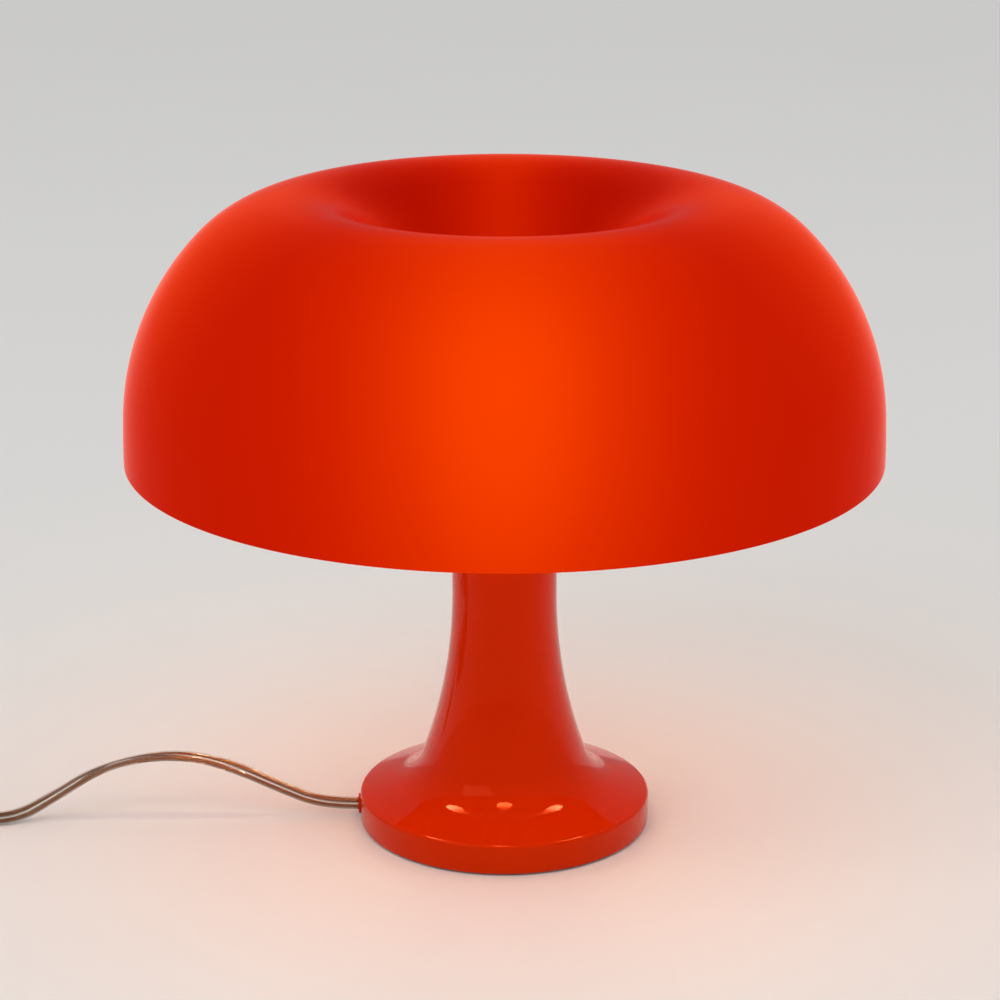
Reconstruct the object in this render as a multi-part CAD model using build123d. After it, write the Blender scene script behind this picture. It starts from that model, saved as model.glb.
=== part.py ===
from build123d import *

import math
import os

# A table lamp: a ring-shaped translucent shade over four bulbs, on a trumpet-shaped foot.
# Millimetres, +Z up. The origin is the middle of the circle that the lamp stands on.
# The cord leaves the foot towards -X. Outlines of turned pieces are drawn as (radius, height),
# and those of the pieces around a bulb as (distance from the lamp's axis, radius).

# ---------------------------------------------------------------- fits and clearances
thread_gap = 0.05  # radial, between a screw or nut and its thread, both drawn plain
slip_gap = 0.2  # radial, between a wire, cord or bush and the hole that it passes
casting_gap = 0.3  # between the weight and the moulding that it fills
hole_gap = 1.0  # radial, between the shade's hole and the stud
seal_gap = 0.3  # radial, between a bulb's glass and the stem inside it
overrun = 1.0  # how far a cut runs past the face that it opens
arc_share = 0.45  # of the shorter run beside a corner, taken by the corner's arc

# ---------------------------------------------------------------- foot
foot_radius = 63.2
foot_edge_height = 13.4  # the disc's top at its rim
foot_lift = 0.8  # from the table to the moulding's lower edge
foot_wall = 3.0
disc_slope = 18.0  # degrees, of the disc's top
bell_radius = 22.0  # hollow curve between the disc and the column
flare_radius = 215.0  # long hollow curve of the column
flare_turn = 20.0  # degrees
column_radius = 22.5
column_top = 188.0
disc_edge_fillet = 1.8
foot_hem_fillet = 0.6
column_top_fillet = 1.0

# ---------------------------------------------------------------- base
ring_thickness = 1.6
ring_gap = 2.2  # radial, between the floor ring and the foot's wall
ring_width = 8.5
cover_thickness = 1.0
cover_gap = 1.2  # radial, between the bottom cover and the foot's wall
cover_screw_count = 3
cover_screw_inset = 7.5  # from the floor ring to the middle of a screw
weight_top = 20.5
pocket_radius = 27.0
pocket_height = 12.0
channel_width = 10.0
channel_height = 9.2
screw_radius = 1.5
screw_head_radius = 2.75
screw_head_height = 0.9
screw_depth = 6.0
pan_roundness = 0.45  # of the screw head's height

# ---------------------------------------------------------------- stem
stem_radius = 5.0
stem_bore = 3.9
stem_below_nut = 1.0
nut_flats = 14.0  # across flats
nut_height = 4.0
washer_radius = 9.0
washer_thickness = 1.0

# ---------------------------------------------------------------- hub with the bulb holders
holder_angles = {"front": -90, "right": 0, "back": 90, "left": 180}
hub_width = 43.0
hub_corner = 9.0
hub_wall = 2.7
hub_floor = 3.0
hub_height = 28.0
hub_post_radius = 3.2
hub_post_inset = 7.2  # from the hub's side to the middle of a screw post
hub_cover_thickness = 2.5
hub_screw_head_height = 1.2
holder_rise = 15.0  # from the column's top to the bulbs' axes
nipple_length = 7.0
nipple_bore = 3.2
holder_nut_height = 2.6
holder_neck_radius = 9.5
holder_radius = 13.5
holder_length = 40.0
holder_back = 4.0
holder_shoulder = 7.0
holder_chamber_radius = 6.2
holder_chamber_length = 19.0
holder_edge_fillet = 1.2
shell_radius = 7.8
shell_wall = 0.5
shell_setback = 1.0  # from the holder's mouth
contact_radius = 4.5
contact_thickness = 0.8
contact_stud_radius = 2.4
contact_setback = 2.5  # from the holder's back wall to the contact's stud
block_radius = 9.0
block_height = 6.0
block_rise = 2.5  # from the hub's nut to the connection block
block_leg_circle = 6.0
block_leg_radius = 0.8

# ---------------------------------------------------------------- bulbs
bulb_length = 82.0
bulb_radius = 22.5
bulb_neck_radius = 8.8
bulb_neck_blend = 16.0
bulb_glass = 0.9
cap_length = 17.0
cap_collar = 2.0
cap_wall = 0.4
cap_button_rim = 1.0  # round the contact tip
cap_taper = 1.5
cap_floor = 2.5
tip_radius = 2.4
tip_length = 1.6
stem_flare_length = 1.5
stem_rod_radius = 2.6
stem_rod_length = 14.0
filament_wire = 0.3
filament_reach = 18.0
filament_half_width = 7.0
filament_foot = 1.6

# ---------------------------------------------------------------- wires
wire_radius = 1.0
lead_radius = 0.7
wire_spread = 1.8
lead_spread = 1.5
lead_gap = 0.3  # between the connection block and a lead
lead_straight = 2.0
core_spread = 1.2  # half the distance between the cord's two cores
core_straight = 2.0
wire_bend = 1.2
riser_bends = (1.5, 1.5, 1.6)
riser_approach = 3.5  # from the lamp's axis to the riser's last bend before the stem
terminal_length = 14.0
terminal_width = 14.0
terminal_height = 9.0
terminal_gap = 3.0  # from the pocket's wall to the terminal block
terminal_pitch = 7.0
terminal_port_height = 3.2
terminal_port_radius = 1.3
terminal_screw_radius = 1.4
terminal_screw_sink = 1.0
terminal_edge = 1.0
terminal_stub = 1.0  # of straight wire outside the block

# ---------------------------------------------------------------- shade
seat_thickness = 1.5
seat_inner_radius = 8.0
seat_outer_radius = 20.0
shade_radius = 160.0
shade_wall = 3.0
side_radius = 450.0  # nearly upright side
side_turn = 2.6  # degrees
shoulder_radius = 110.1
shoulder_turn = 41.8  # degrees
brow_radius = 59.2  # up to the crest
lip_radius = 46.0  # from the crest into the dimple
lip_turn = 80.0  # degrees
dimple_depth = 54.7  # from the crest to the dimple's floor
dimple_bend = 12.0
rim_fillet = 1.0

# ---------------------------------------------------------------- lock cap
stud_collar_radius = 8.0
stud_collar_height = 1.5
stud_height = 14.0  # above the dimple's floor
cap_washer_radius = 13.0
cap_washer_thickness = 1.0
knob_radius = 15.0
knob_height = 17.0
knob_edge = 2.5
knob_flutes = 12
knob_flute_radius = 2.2
insert_radius = 7.5
insert_length = 11.0
insert_recess = 1.0
stud_end_gap = 1.0  # above the stud, inside the cap

# ---------------------------------------------------------------- cord
cord_length = 1800.0  # from the foot to the plug
cord_width = 5.6  # the flat twin flex's width, and the diameter of the tube for it
cord_exit_height = 5.8
table_gap = 0.1  # between the cord and the table
grommet_radius = 3.7
grommet_flange_radius = 4.4
grommet_flange = 0.8
clamp_length = 7.0
clamp_width = 24.0
clamp_thickness = 2.0
clamp_inset = 21.2  # from the foot's side to the clamp's middle
clamp_screw_spread = 8.5
clamp_screw_head_height = 1.2
clamp_screw_depth = 3.0
clamp_play = 0.5  # between the clamp and its recess
inner_cord_bend = 8.0
inner_cord_straight = 2.0

# ---------------------------------------------------------------- inline switch
switch_length = 58.0
switch_width = 26.0
switch_height = 18.0
switch_corner = 9.0
switch_edge = 2.5
switch_wall = 2.0
switch_x = -285.0
switch_y = -13.0
switch_cord_height = 8.2
switch_cord_reach = 4.0  # how far the cord runs into the switch
switch_post_wall = 1.6
switch_screw_sink = 0.5
rocker_length = 15.2
rocker_width = 10.4
rocker_depth = 6.5
rocker_dish = 1.0
rocker_end_height = 2.4
rocker_end_lean = 0.2
rocker_foot_length = 8.4
rocker_ear_length = 5.0
rocker_ear_width = 2.4
rocker_ear_drop = 1.6  # below the pivot
strip_thickness = 0.5
rocker_stand = 1.6  # how far its ends stand above the switch's top
rocker_throw = 16.0  # degrees
rocker_gap = 0.9
rocker_side_gap = 0.4
pivot_radius = 1.0
pivot_end_gap = 0.2
pivot_drop = 3.2  # below the switch's top
switch_screw_spread = 22.0
switch_screw_side = 8.0
switch_terminal = (7.0, 4.6, 4.0)
switch_terminal_side = 2.4
switch_terminal_inset = 4.0
switch_link_width = 3.0

# ---------------------------------------------------------------- coil
coil_gap = 0.5  # between one turn and the next, and between the two layers
coil_half_turns = 13

# ---------------------------------------------------------------- plug
relief_length = 22.0
relief_radius = 3.5
relief_root_radius = 5.0
relief_root_depth = 1.0  # inside the plug
plug_length = 34.0
plug_back_width = 14.0
plug_width = 27.0
plug_thickness = 13.6
plug_edge = 2.5
plug_face_edge = 1.5
plug_taper = 15.3
pin_radius = 2.0
pin_tip_fillet = 1.6
pin_length = 19.0
pin_sleeve_length = 10.0
pin_sleeve_wall = 0.4
pin_spacing = 18.6

# ---------------------------------------------------------------- places that follow
bell_turn = 90 - flare_turn - disc_slope
slope = math.radians(disc_slope)
flare_angle = math.radians(flare_turn)
steepness = math.radians(90 - flare_turn)
bell_foot = (
    column_radius
    + flare_radius * (1 - math.cos(flare_angle))
    + bell_radius * (math.sin(steepness) - math.sin(slope))
)
flare_top = (
    foot_edge_height
    + (foot_radius - bell_foot) * math.tan(slope)
    + bell_radius * (math.cos(slope) - math.cos(steepness))
    + flare_radius * math.sin(flare_angle)
)
ring_outer_radius = foot_radius - foot_wall - ring_gap
ring_inner_radius = ring_outer_radius - ring_width
cover_screw_circle = ring_inner_radius - cover_screw_inset
clamp_reach = foot_radius - clamp_inset
cover_top = ring_thickness + cover_thickness
pocket_top = cover_top + pocket_height
base_nut_bottom = pocket_top - washer_thickness - nut_height
stem_bottom = base_nut_bottom - stem_below_nut
hub_half = hub_width / 2
hub_nut_top = column_top + hub_floor + washer_thickness + nut_height
hub_top = column_top + hub_height
hub_cover_top = hub_top + hub_cover_thickness
holder_z = column_top + holder_rise
holder_mouth = hub_half + holder_length
shell_start = hub_half + holder_back + holder_chamber_length
tip_start = shell_start + contact_thickness
contact_back = hub_half + holder_back + contact_setback
cap_start = tip_start + tip_length
cap_end = cap_start + cap_length
bulb_middle = tip_start + bulb_length - bulb_radius
seat_top = hub_cover_top + seat_thickness
dimple_floor = seat_top + shade_wall
upper_turn = math.radians(side_turn + shoulder_turn)
shade_rise = (
    side_radius * math.sin(math.radians(side_turn))
    + shoulder_radius * (math.sin(upper_turn) - math.sin(math.radians(side_turn)))
    + brow_radius * (1 - math.sin(upper_turn))
)
rim_height = dimple_floor + dimple_depth - shade_rise
crest_height = rim_height + shade_rise
knob_bottom = dimple_floor + cap_washer_thickness
insert_top = knob_bottom + insert_recess + insert_length
stem_flare_radius = bulb_neck_radius - bulb_glass - seal_gap
pivot_z = switch_height - pivot_drop
switch_screw_bottom = clamp_screw_head_height + switch_screw_sink
terminal_far = -(pocket_radius - terminal_gap)
terminal_near = terminal_far + terminal_length
terminal_middle = (terminal_far + terminal_near) / 2
port_z = cover_top + terminal_port_height
block_bottom = hub_nut_top + block_rise
cord_radius = cord_width / 2
cord_low = cord_radius + table_gap
plug_rise = plug_thickness / 2 - cord_low  # from the cord on the table to the plug's middle
cord_exit = -(foot_radius + grommet_flange)
inner_cord_z = cover_top + channel_height - cord_radius
inner_cord_end = -(pocket_radius + terminal_gap)


# ---------------------------------------------------------------- helpers
def outline(*pieces):
    """A flat face inside the given lines and arcs, which follow each other round."""
    return make_face([edge for piece in pieces for edge in piece.edges()])


def softened(face, *corners):
    """The face with the corners nearest the given points rounded: (point, radius) each."""
    for point, radius in corners:
        face = fillet(face.vertices().sort_by_distance(point)[0], radius)
    return face


def turned(face):
    """The solid that a (radius, height) face sweeps about the lamp's axis."""
    return revolve(Plane.XZ * face, Axis.Z)


def turned_around_bulb(face):
    """The solid that a (distance, radius) face sweeps about the right-hand bulb's axis."""
    return Pos(0, 0, holder_z) * revolve(Plane.XZ * face, Axis.X)


def box_outline(low_x, low_y, high_x, high_y):
    """A rectangle between two corners."""
    return outline(
        Polyline((low_x, low_y), (high_x, low_y), (high_x, high_y), (low_x, high_y), close=True)
    )


def tube_between(inner, outer, bottom, top):
    """A plain upright tube, ring or washer."""
    return turned(box_outline(inner, bottom, outer, top))


def rod(radius, bottom, top):
    """A plain upright rod on the lamp's axis."""
    return Pos(0, 0, bottom) * extrude(Circle(radius), top - bottom)


def hex_nut(flats, bore, height):
    """A nut that stands on the XY plane."""
    return extrude(RegularPolygon(flats / 2, 6, major_radius=False) - Circle(bore), height)


def pan_screw(radius, length, head_radius, head_height):
    """A screw whose shank points up from the XY plane, with its head under that plane."""
    head = Pos(0, 0, -head_height) * extrude(Circle(head_radius), head_height)
    head = fillet(head.edges().group_by(Axis.Z)[0], head_height * pan_roundness)
    return head + extrude(Circle(radius), length)


def corner_radii(points):
    """The arc radius at each inner point of a route."""
    radii = []
    for before, here, after in zip(points, points[1:], points[2:]):
        arriving = Vector(*here) - Vector(*before)
        leaving = Vector(*after) - Vector(*here)
        half_turn = math.radians(arriving.get_angle(leaving)) / 2
        radii.append(arc_share * min(arriving.length, leaving.length) / math.tan(half_turn))
    return radii


def route(points):
    """Straight runs joined by tangent arcs."""
    return FilletPolyline(*points, radius=corner_radii(points))


def swept(path, radius):
    """A round bar along a path."""
    return sweep(Plane(origin=path @ 0, z_dir=path % 0) * Circle(radius), path=path)


def group(*solids):
    """Separate solids that share one node."""
    return Compound(children=[solid for piece in solids for solid in piece.solids()])


def round_each_bulb(solid):
    """Four copies of the right-hand bulb's piece, one for each holder."""
    return group(*(Rot(0, 0, angle) * solid for angle in holder_angles.values()))


# ---------------------------------------------------------------- foot and base
def foot_face(depth, top, bottom):
    """Half the foot's outline, made smaller all over by depth, between two heights."""
    radius = column_radius - depth
    side = foot_radius - depth
    flare = JernArc((radius, flare_top), (0, -1), flare_radius + depth, flare_turn)
    bell = JernArc(flare @ 1, flare % 1, bell_radius + depth, bell_turn)
    bell_end = bell @ 1
    edge = bell_end.Y - (side - bell_end.X) * math.tan(slope)
    down = Polyline(bell @ 1, (side, edge), (side, bottom), (0, bottom), (0, top), (radius, top))
    return outline(flare, bell, down, Line((radius, top), (radius, flare_top)))


def foot_form(depth, top, bottom):
    """The solid that the foot's outline sweeps about the lamp's axis."""
    return turned(foot_face(depth, top, bottom))


def foot_moulding():
    """The column and its disc in one hollow moulding, open underneath."""
    face = softened(
        foot_face(0, column_top, foot_lift),
        ((foot_radius, foot_edge_height), disc_edge_fillet),
        ((foot_radius, foot_lift), foot_hem_fillet),
        ((column_radius, column_top), column_top_fillet),
    )
    form = turned(face)
    hollow = foot_form(foot_wall, column_top - foot_wall, 0)
    cord_hole = Pos(-foot_radius, 0, cord_exit_height) * Rot(0, 90, 0)
    cord_hole *= Cylinder(grommet_radius + thread_gap, 4 * foot_wall)
    return form - hollow - rod(stem_radius + slip_gap, 0, column_top) - cord_hole


def cover_screw_places():
    """The middles of the bottom cover's screws, none of them in the cord's channel."""
    return PolarLocations(cover_screw_circle, cover_screw_count)


def ballast_weight():
    """An iron casting that fills the foot's disc, with a pocket and a channel underneath."""
    form = foot_form(foot_wall + casting_gap, column_top, cover_top)
    form -= rod(foot_radius, weight_top, column_top + overrun)
    pocket = rod(pocket_radius, cover_top, pocket_top)
    channel = Pos(-foot_radius / 2, 0, cover_top + channel_height / 2)
    channel *= Box(foot_radius, channel_width, channel_height)
    threads = Pos(0, 0, cover_top) * cover_screw_places()
    threads *= Cylinder(screw_radius + thread_gap, 2 * (screw_depth + casting_gap))
    clamp_threads = Pos(-clamp_reach, 0, cover_top + channel_height) * GridLocations(
        1, 2 * clamp_screw_spread, 1, 2
    )
    clamp_threads *= Cylinder(screw_radius + thread_gap, 2 * clamp_screw_depth)
    recess = Pos(-clamp_reach, 0, cover_top + channel_height / 2)
    recess *= Box(clamp_length + 2 * clamp_play, clamp_width + 2 * clamp_play, channel_height)
    bore = rod(stem_radius + slip_gap, 0, column_top)
    return form - pocket - channel - recess - bore - threads - clamp_threads


def bottom_cover():
    """The steel disc that closes the foot."""
    disc = rod(foot_radius - foot_wall - cover_gap, ring_thickness, cover_top)
    holes = Pos(0, 0, cover_top) * cover_screw_places()
    return disc - holes * Cylinder(screw_radius + slip_gap, 4 * cover_thickness)


def bottom_cover_screws():
    """Pan-head screws through the bottom cover into the weight."""
    screw = pan_screw(
        screw_radius, cover_thickness + screw_depth, screw_head_radius, screw_head_height
    )
    return group(*(Pos(0, 0, ring_thickness) * place * screw for place in cover_screw_places()))


def floor_ring():
    """The rubber ring under the cover that the lamp stands on."""
    return tube_between(ring_inner_radius, ring_outer_radius, 0, ring_thickness)


def stem_pieces():
    """The threaded tube from base to hub, with a nut and a washer at each end."""
    washer_bottom = column_top + hub_floor
    nut = hex_nut(nut_flats, stem_radius + thread_gap, nut_height)
    bore = stem_radius + slip_gap
    washer = tube_between(bore, washer_radius, 0, washer_thickness)
    return {
        "stem_tube": tube_between(stem_bore, stem_radius, stem_bottom, hub_nut_top),
        "stem_washers": group(
            Pos(0, 0, pocket_top - washer_thickness) * washer, Pos(0, 0, washer_bottom) * washer
        ),
        "stem_nuts": group(
            Pos(0, 0, base_nut_bottom) * nut, Pos(0, 0, hub_nut_top - nut_height) * nut
        ),
    }


# ---------------------------------------------------------------- hub and holders
def hub_plan(inset):
    """The hub's square plan with round corners, made smaller by inset."""
    return RectangleRounded(hub_width - 2 * inset, hub_width - 2 * inset, hub_corner - inset)


def hub_post_places():
    """The middles of the four screw posts."""
    spread = hub_width - 2 * hub_post_inset
    return GridLocations(spread, spread, 2, 2)


def hub_housing():
    """The cast box on the column, with a port in each side for a bulb holder."""
    box = Pos(0, 0, column_top) * extrude(hub_plan(0), hub_height)
    room = Pos(0, 0, column_top + hub_floor) * extrude(hub_plan(hub_wall), hub_height)
    posts = Pos(0, 0, column_top) * hub_post_places()
    posts *= extrude(Circle(hub_post_radius), hub_height)
    ports = Pos(0, 0, holder_z) * Rot(0, 90, 0) * Cylinder(stem_radius + slip_gap, 2 * hub_width)
    threads = Pos(0, 0, hub_top) * hub_post_places()
    threads *= Cylinder(screw_radius + thread_gap, 2 * (screw_depth + casting_gap))
    box = box - room + posts - ports - Rot(0, 0, 90) * ports - threads
    return box - rod(stem_radius + slip_gap, 0, hub_top)


def hub_cover():
    """The plate on the hub that carries the shade."""
    plate = Pos(0, 0, hub_top) * extrude(hub_plan(0), hub_cover_thickness)
    holes = Pos(0, 0, hub_top) * hub_post_places()
    plate -= holes * Cylinder(screw_radius + slip_gap, 4 * hub_cover_thickness)
    sinks = Pos(0, 0, hub_cover_top) * hub_post_places()
    plate -= sinks * Cylinder(screw_head_radius + slip_gap, 2 * hub_screw_head_height)
    return plate - rod(stem_radius + thread_gap, hub_top - overrun, hub_cover_top + overrun)


def hub_cover_screws():
    """Screws whose heads lie sunk in the hub's cover."""
    length = hub_cover_thickness - hub_screw_head_height + screw_depth
    screw = pan_screw(screw_radius, length, screw_head_radius, hub_screw_head_height)
    screw = Pos(0, 0, hub_cover_top - hub_screw_head_height) * Rot(180, 0, 0) * screw
    return group(*(place * screw for place in hub_post_places()))


def shade_stud():
    """The threaded stud through the hub's cover, for the lock cap."""
    collar = rod(stud_collar_radius, hub_top - stud_collar_height, hub_top)
    return collar + rod(stem_radius, hub_top - stud_collar_height, dimple_floor + stud_height)


def bulb_holder():
    """A moulded holder on a hollow threaded nipple, with room for contacts and screw shell."""
    back = hub_half
    front = holder_mouth
    step = back + holder_shoulder
    chamber = back + holder_back
    body = outline(
        Polyline(
            (back - nipple_length, nipple_bore),
            (back - nipple_length, stem_radius),
            (back, stem_radius),
            (back, holder_neck_radius),
            (step, holder_radius),
            (front, holder_radius),
            (front, shell_radius + thread_gap),
            (shell_start, shell_radius + thread_gap),
            (shell_start, holder_chamber_radius),
            (chamber, holder_chamber_radius),
            (chamber, nipple_bore),
            close=True,
        )
    )
    body = softened(body, ((front, holder_radius), holder_edge_fillet))
    return turned_around_bulb(body)


def screw_shells():
    """The brass shells that the bulbs screw into."""
    shell = box_outline(
        shell_start, shell_radius - shell_wall, holder_mouth - shell_setback, shell_radius
    )
    return round_each_bulb(turned_around_bulb(shell))


def centre_contacts():
    """The brass discs that the bulbs' tips press on, each on the stud that its leads meet."""
    disc = box_outline(shell_start, 0, tip_start, contact_radius)
    stud = box_outline(contact_back, 0, shell_start, contact_stud_radius)
    return round_each_bulb(turned_around_bulb(disc) + turned_around_bulb(stud))


def holder_nuts():
    """The nuts that hold the bulb holders, inside the hub."""
    nut = hex_nut(nut_flats, stem_radius + thread_gap, holder_nut_height)
    place = Pos(hub_half - hub_wall - holder_nut_height, 0, holder_z) * Rot(0, 90, 0)
    return round_each_bulb(place * nut)


# ---------------------------------------------------------------- bulbs
def bulb_form(depth):
    """The (distance, radius) half outline of the bulb's glass, made smaller by depth."""
    ball = Pos(bulb_middle, 0) * Circle(bulb_radius - depth)
    neck = box_outline(cap_end, 0, bulb_middle, bulb_neck_radius - depth)
    below = Pos(bulb_middle, -bulb_radius) * Rectangle(4 * bulb_radius, 2 * bulb_radius)
    half = (ball + neck) - below
    joint = (bulb_middle - bulb_radius, bulb_neck_radius)
    return softened(half, (joint, bulb_neck_blend + depth))


def bulb_glass_shell():
    """The glass, a thin shell open towards the cap."""
    return turned_around_bulb(bulb_form(0)) - turned_around_bulb(bulb_form(bulb_glass))


def bulb_cap():
    """The metal screw cap, with the collar that grips the glass."""
    inside = shell_radius - shell_wall - thread_gap
    face = outline(
        Polyline(
            (cap_start, 0),
            (cap_start, tip_radius + cap_button_rim),
            (cap_start + cap_taper, inside),
            (cap_end - cap_collar, inside),
            (cap_end, bulb_neck_radius),
            (cap_end, bulb_neck_radius - 2 * cap_wall),
            (cap_end - cap_collar, inside - 2 * cap_wall),
            (cap_start + cap_floor, inside - 2 * cap_wall),
            (cap_start + cap_floor, 0),
            close=True,
        )
    )
    return turned_around_bulb(face)


def bulb_tips():
    """The contact tips on the caps."""
    return round_each_bulb(turned_around_bulb(box_outline(tip_start, 0, cap_start, tip_radius)))


def bulb_stems():
    """The glass stems inside the bulbs, flared out to the neck of the glass."""
    face = box_outline(cap_end, 0, cap_end + stem_flare_length, stem_flare_radius)
    face += box_outline(cap_end, 0, cap_end + stem_rod_length, stem_rod_radius)
    return round_each_bulb(turned_around_bulb(face))


def bulb_filaments():
    """The filament wires, one bow on the end of each stem."""
    foot = cap_end + stem_rod_length
    leg = foot + 2 * filament_foot
    points = [
        (foot, -filament_foot, holder_z),
        (leg, -filament_foot, holder_z),
        (foot + filament_reach, -filament_half_width, holder_z),
        (foot + filament_reach, filament_half_width, holder_z),
        (leg, filament_foot, holder_z),
        (foot, filament_foot, holder_z),
    ]
    bow = FilletPolyline(*points, radius=filament_half_width / 2)
    return round_each_bulb(swept(bow, filament_wire))


# ---------------------------------------------------------------- wiring
def terminal_block():
    """The two-pole block where the cord meets the lamp's own wires."""
    block = Pos(terminal_middle, 0, cover_top + terminal_height / 2)
    block *= Box(terminal_length, terminal_width, terminal_height)
    block = fillet(block.edges().filter_by(Axis.Z), terminal_edge)
    ports = Pos(terminal_middle, 0, port_z) * GridLocations(1, terminal_pitch, 1, 2)
    block -= ports * (Rot(0, 90, 0) * Cylinder(terminal_port_radius, 2 * terminal_length))
    wells = Pos(terminal_middle, 0, cover_top + terminal_height)
    wells *= GridLocations(terminal_length / 2, terminal_pitch, 2, 2)
    depth = terminal_height - terminal_port_height
    return block - wells * Cylinder(terminal_screw_radius + thread_gap, 2 * depth)


def terminal_screws():
    """The block's four clamping screws, each down on its wire."""
    bottom = port_z + wire_radius
    length = cover_top + terminal_height - terminal_screw_sink - bottom
    places = Pos(terminal_middle, 0, bottom)
    places *= GridLocations(terminal_length / 2, terminal_pitch, 2, 2)
    return group(*(place * extrude(Circle(terminal_screw_radius), length) for place in places))


def supply_wires():
    """The cord's two cores, from its stripped end into the block."""
    wires = []
    for side in (-1, 1):
        y = side * terminal_pitch / 2
        points = [
            (inner_cord_end, side * core_spread, inner_cord_z),
            (inner_cord_end + core_straight, side * core_spread, inner_cord_z),
            (terminal_far - terminal_stub, y, port_z),
            (terminal_middle - terminal_stub, y, port_z),
        ]
        wires.append(swept(FilletPolyline(*points, radius=wire_bend), wire_radius))
    return group(*wires)


def riser_wires():
    """Two wires from the block, up inside the stem, to the connection block in the hub."""
    wires = []
    for side in (-1, 1):
        points = [
            (terminal_middle + terminal_stub, side * terminal_pitch / 2, port_z),
            (terminal_near + terminal_stub, side * terminal_pitch / 2, port_z),
            (-riser_approach, side * wire_spread, port_z),
            (0, side * wire_spread, port_z),
            (0, side * wire_spread, block_bottom),
        ]
        wires.append(swept(FilletPolyline(*points, radius=riser_bends), wire_radius))
    return group(*wires)


def connection_block():
    """The ceramic block that shares the two wires out to the four holders."""
    disc = Pos(0, 0, block_bottom) * extrude(Circle(block_radius), block_height)
    legs = Pos(0, 0, hub_nut_top) * PolarLocations(block_leg_circle, 4, 45)
    return disc + legs * extrude(Circle(block_leg_radius), block_rise)


def holder_leads():
    """Two leads from the connection block through each nipple to the holder's contacts."""
    lead_z = block_bottom + block_height / 2
    leads = []
    for side in (-1, 1):
        y = side * lead_spread
        start = math.sqrt(block_radius**2 - y**2) + lead_gap
        points = [
            (start, y, lead_z),
            (start + lead_straight, y, lead_z),
            (hub_half - nipple_length - terminal_stub, y, holder_z),
            (contact_back, y, holder_z),
        ]
        leads.append(swept(FilletPolyline(*points, radius=wire_bend), lead_radius))
    return group(*(round_each_bulb(lead) for lead in leads))


# ---------------------------------------------------------------- shade and lock cap
def shade_skin(depth):
    """The shade's outline from its rim to the hole in the dimple, moved inwards by depth."""
    side = JernArc((shade_radius - depth, rim_height), (0, 1), side_radius - depth, side_turn)
    shoulder = JernArc(side @ 1, side % 1, shoulder_radius - depth, shoulder_turn)
    brow_turn = 90 - side_turn - shoulder_turn
    brow = JernArc(shoulder @ 1, shoulder % 1, brow_radius - depth, brow_turn)
    lip = JernArc(brow @ 1, brow % 1, lip_radius - depth, lip_turn)
    bend = dimple_bend + depth
    drop = (lip @ 1).Y - dimple_floor + depth - bend * (1 - math.cos(math.radians(lip_turn)))
    wall = Line(lip @ 1, lip @ 1 + (lip % 1) * (drop / math.sin(math.radians(lip_turn))))
    corner = JernArc(wall @ 1, wall % 1, bend, -lip_turn)
    floor = Line(corner @ 1, (stem_radius + hole_gap, dimple_floor - depth))
    return [side, shoulder, brow, lip, wall, corner, floor]


def shade_shell():
    """The shade: an open ring-shaped dome whose middle dips to a floor with a hole."""
    outer = shade_skin(0)
    inner = shade_skin(shade_wall)
    rim = Line(outer[0] @ 0, inner[0] @ 0)
    hole = Line(outer[-1] @ 1, inner[-1] @ 1)
    face = outline(*outer, hole, *inner, rim)
    edges = [(shade_radius - depth, rim_height) for depth in (0, shade_wall)]
    return turned(softened(face, *((edge, rim_fillet) for edge in edges)))


def lock_cap():
    """The round cap in the dimple, with grip flutes and room for its brass insert."""
    knob = rod(knob_radius, knob_bottom, knob_bottom + knob_height)
    knob = fillet(knob.edges().group_by(Axis.Z)[-1], knob_edge)
    flutes = Pos(0, 0, knob_bottom)
    flutes *= PolarLocations(knob_radius + knob_flute_radius / 2, knob_flutes)
    knob -= flutes * Cylinder(knob_flute_radius, 3 * knob_height)
    knob -= rod(insert_radius, knob_bottom - overrun, insert_top)
    stud_room = dimple_floor + stud_height + stud_end_gap
    return knob - rod(stem_radius + 2 * thread_gap, knob_bottom - overrun, stud_room)


def lock_cap_insert():
    """The threaded brass insert in the lock cap."""
    return tube_between(
        stem_radius + thread_gap, insert_radius, knob_bottom + insert_recess, insert_top
    )


# ---------------------------------------------------------------- cord
coil_pitch = cord_width + coil_gap
switch_face = switch_x + switch_length / 2
switch_back = switch_x - switch_length / 2
lead_route = [
    (cord_exit, 0, cord_exit_height),
    (-80, 0, cord_exit_height),
    (-98, 0, 13.4),
    (-118, 0, 23.0),
    (-137, 0, 28.4),
    (-157, 0, 28.0),
    (-178, -1, 22.6),
    (-198, -4, 10.4),
    (-213, -8, cord_low),
    (-229, -11.5, cord_low),
    (-244, switch_y, switch_cord_height),
    (switch_face - switch_cord_reach, switch_y, switch_cord_height),
]
run_route = [
    (switch_back + switch_cord_reach, switch_y, switch_cord_height),
    (-325, switch_y, switch_cord_height),
    (-341, switch_y, cord_low),
    (-355, switch_y, cord_low),
]
# steps from the coil's upper end to the plug
tail_steps = [
    (0, 0, 0),
    (17, 0, 0),
    (32.5, 8.8, -3),
    (41.4, 24.2, -coil_pitch),
    (41.6, 42, -coil_pitch),
    (32.7, 57.4, 1.6 - coil_pitch),
    (17.2, 66.2, plug_rise - coil_pitch),
    (1.2, 66.2, plug_rise - coil_pitch),
]


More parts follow.
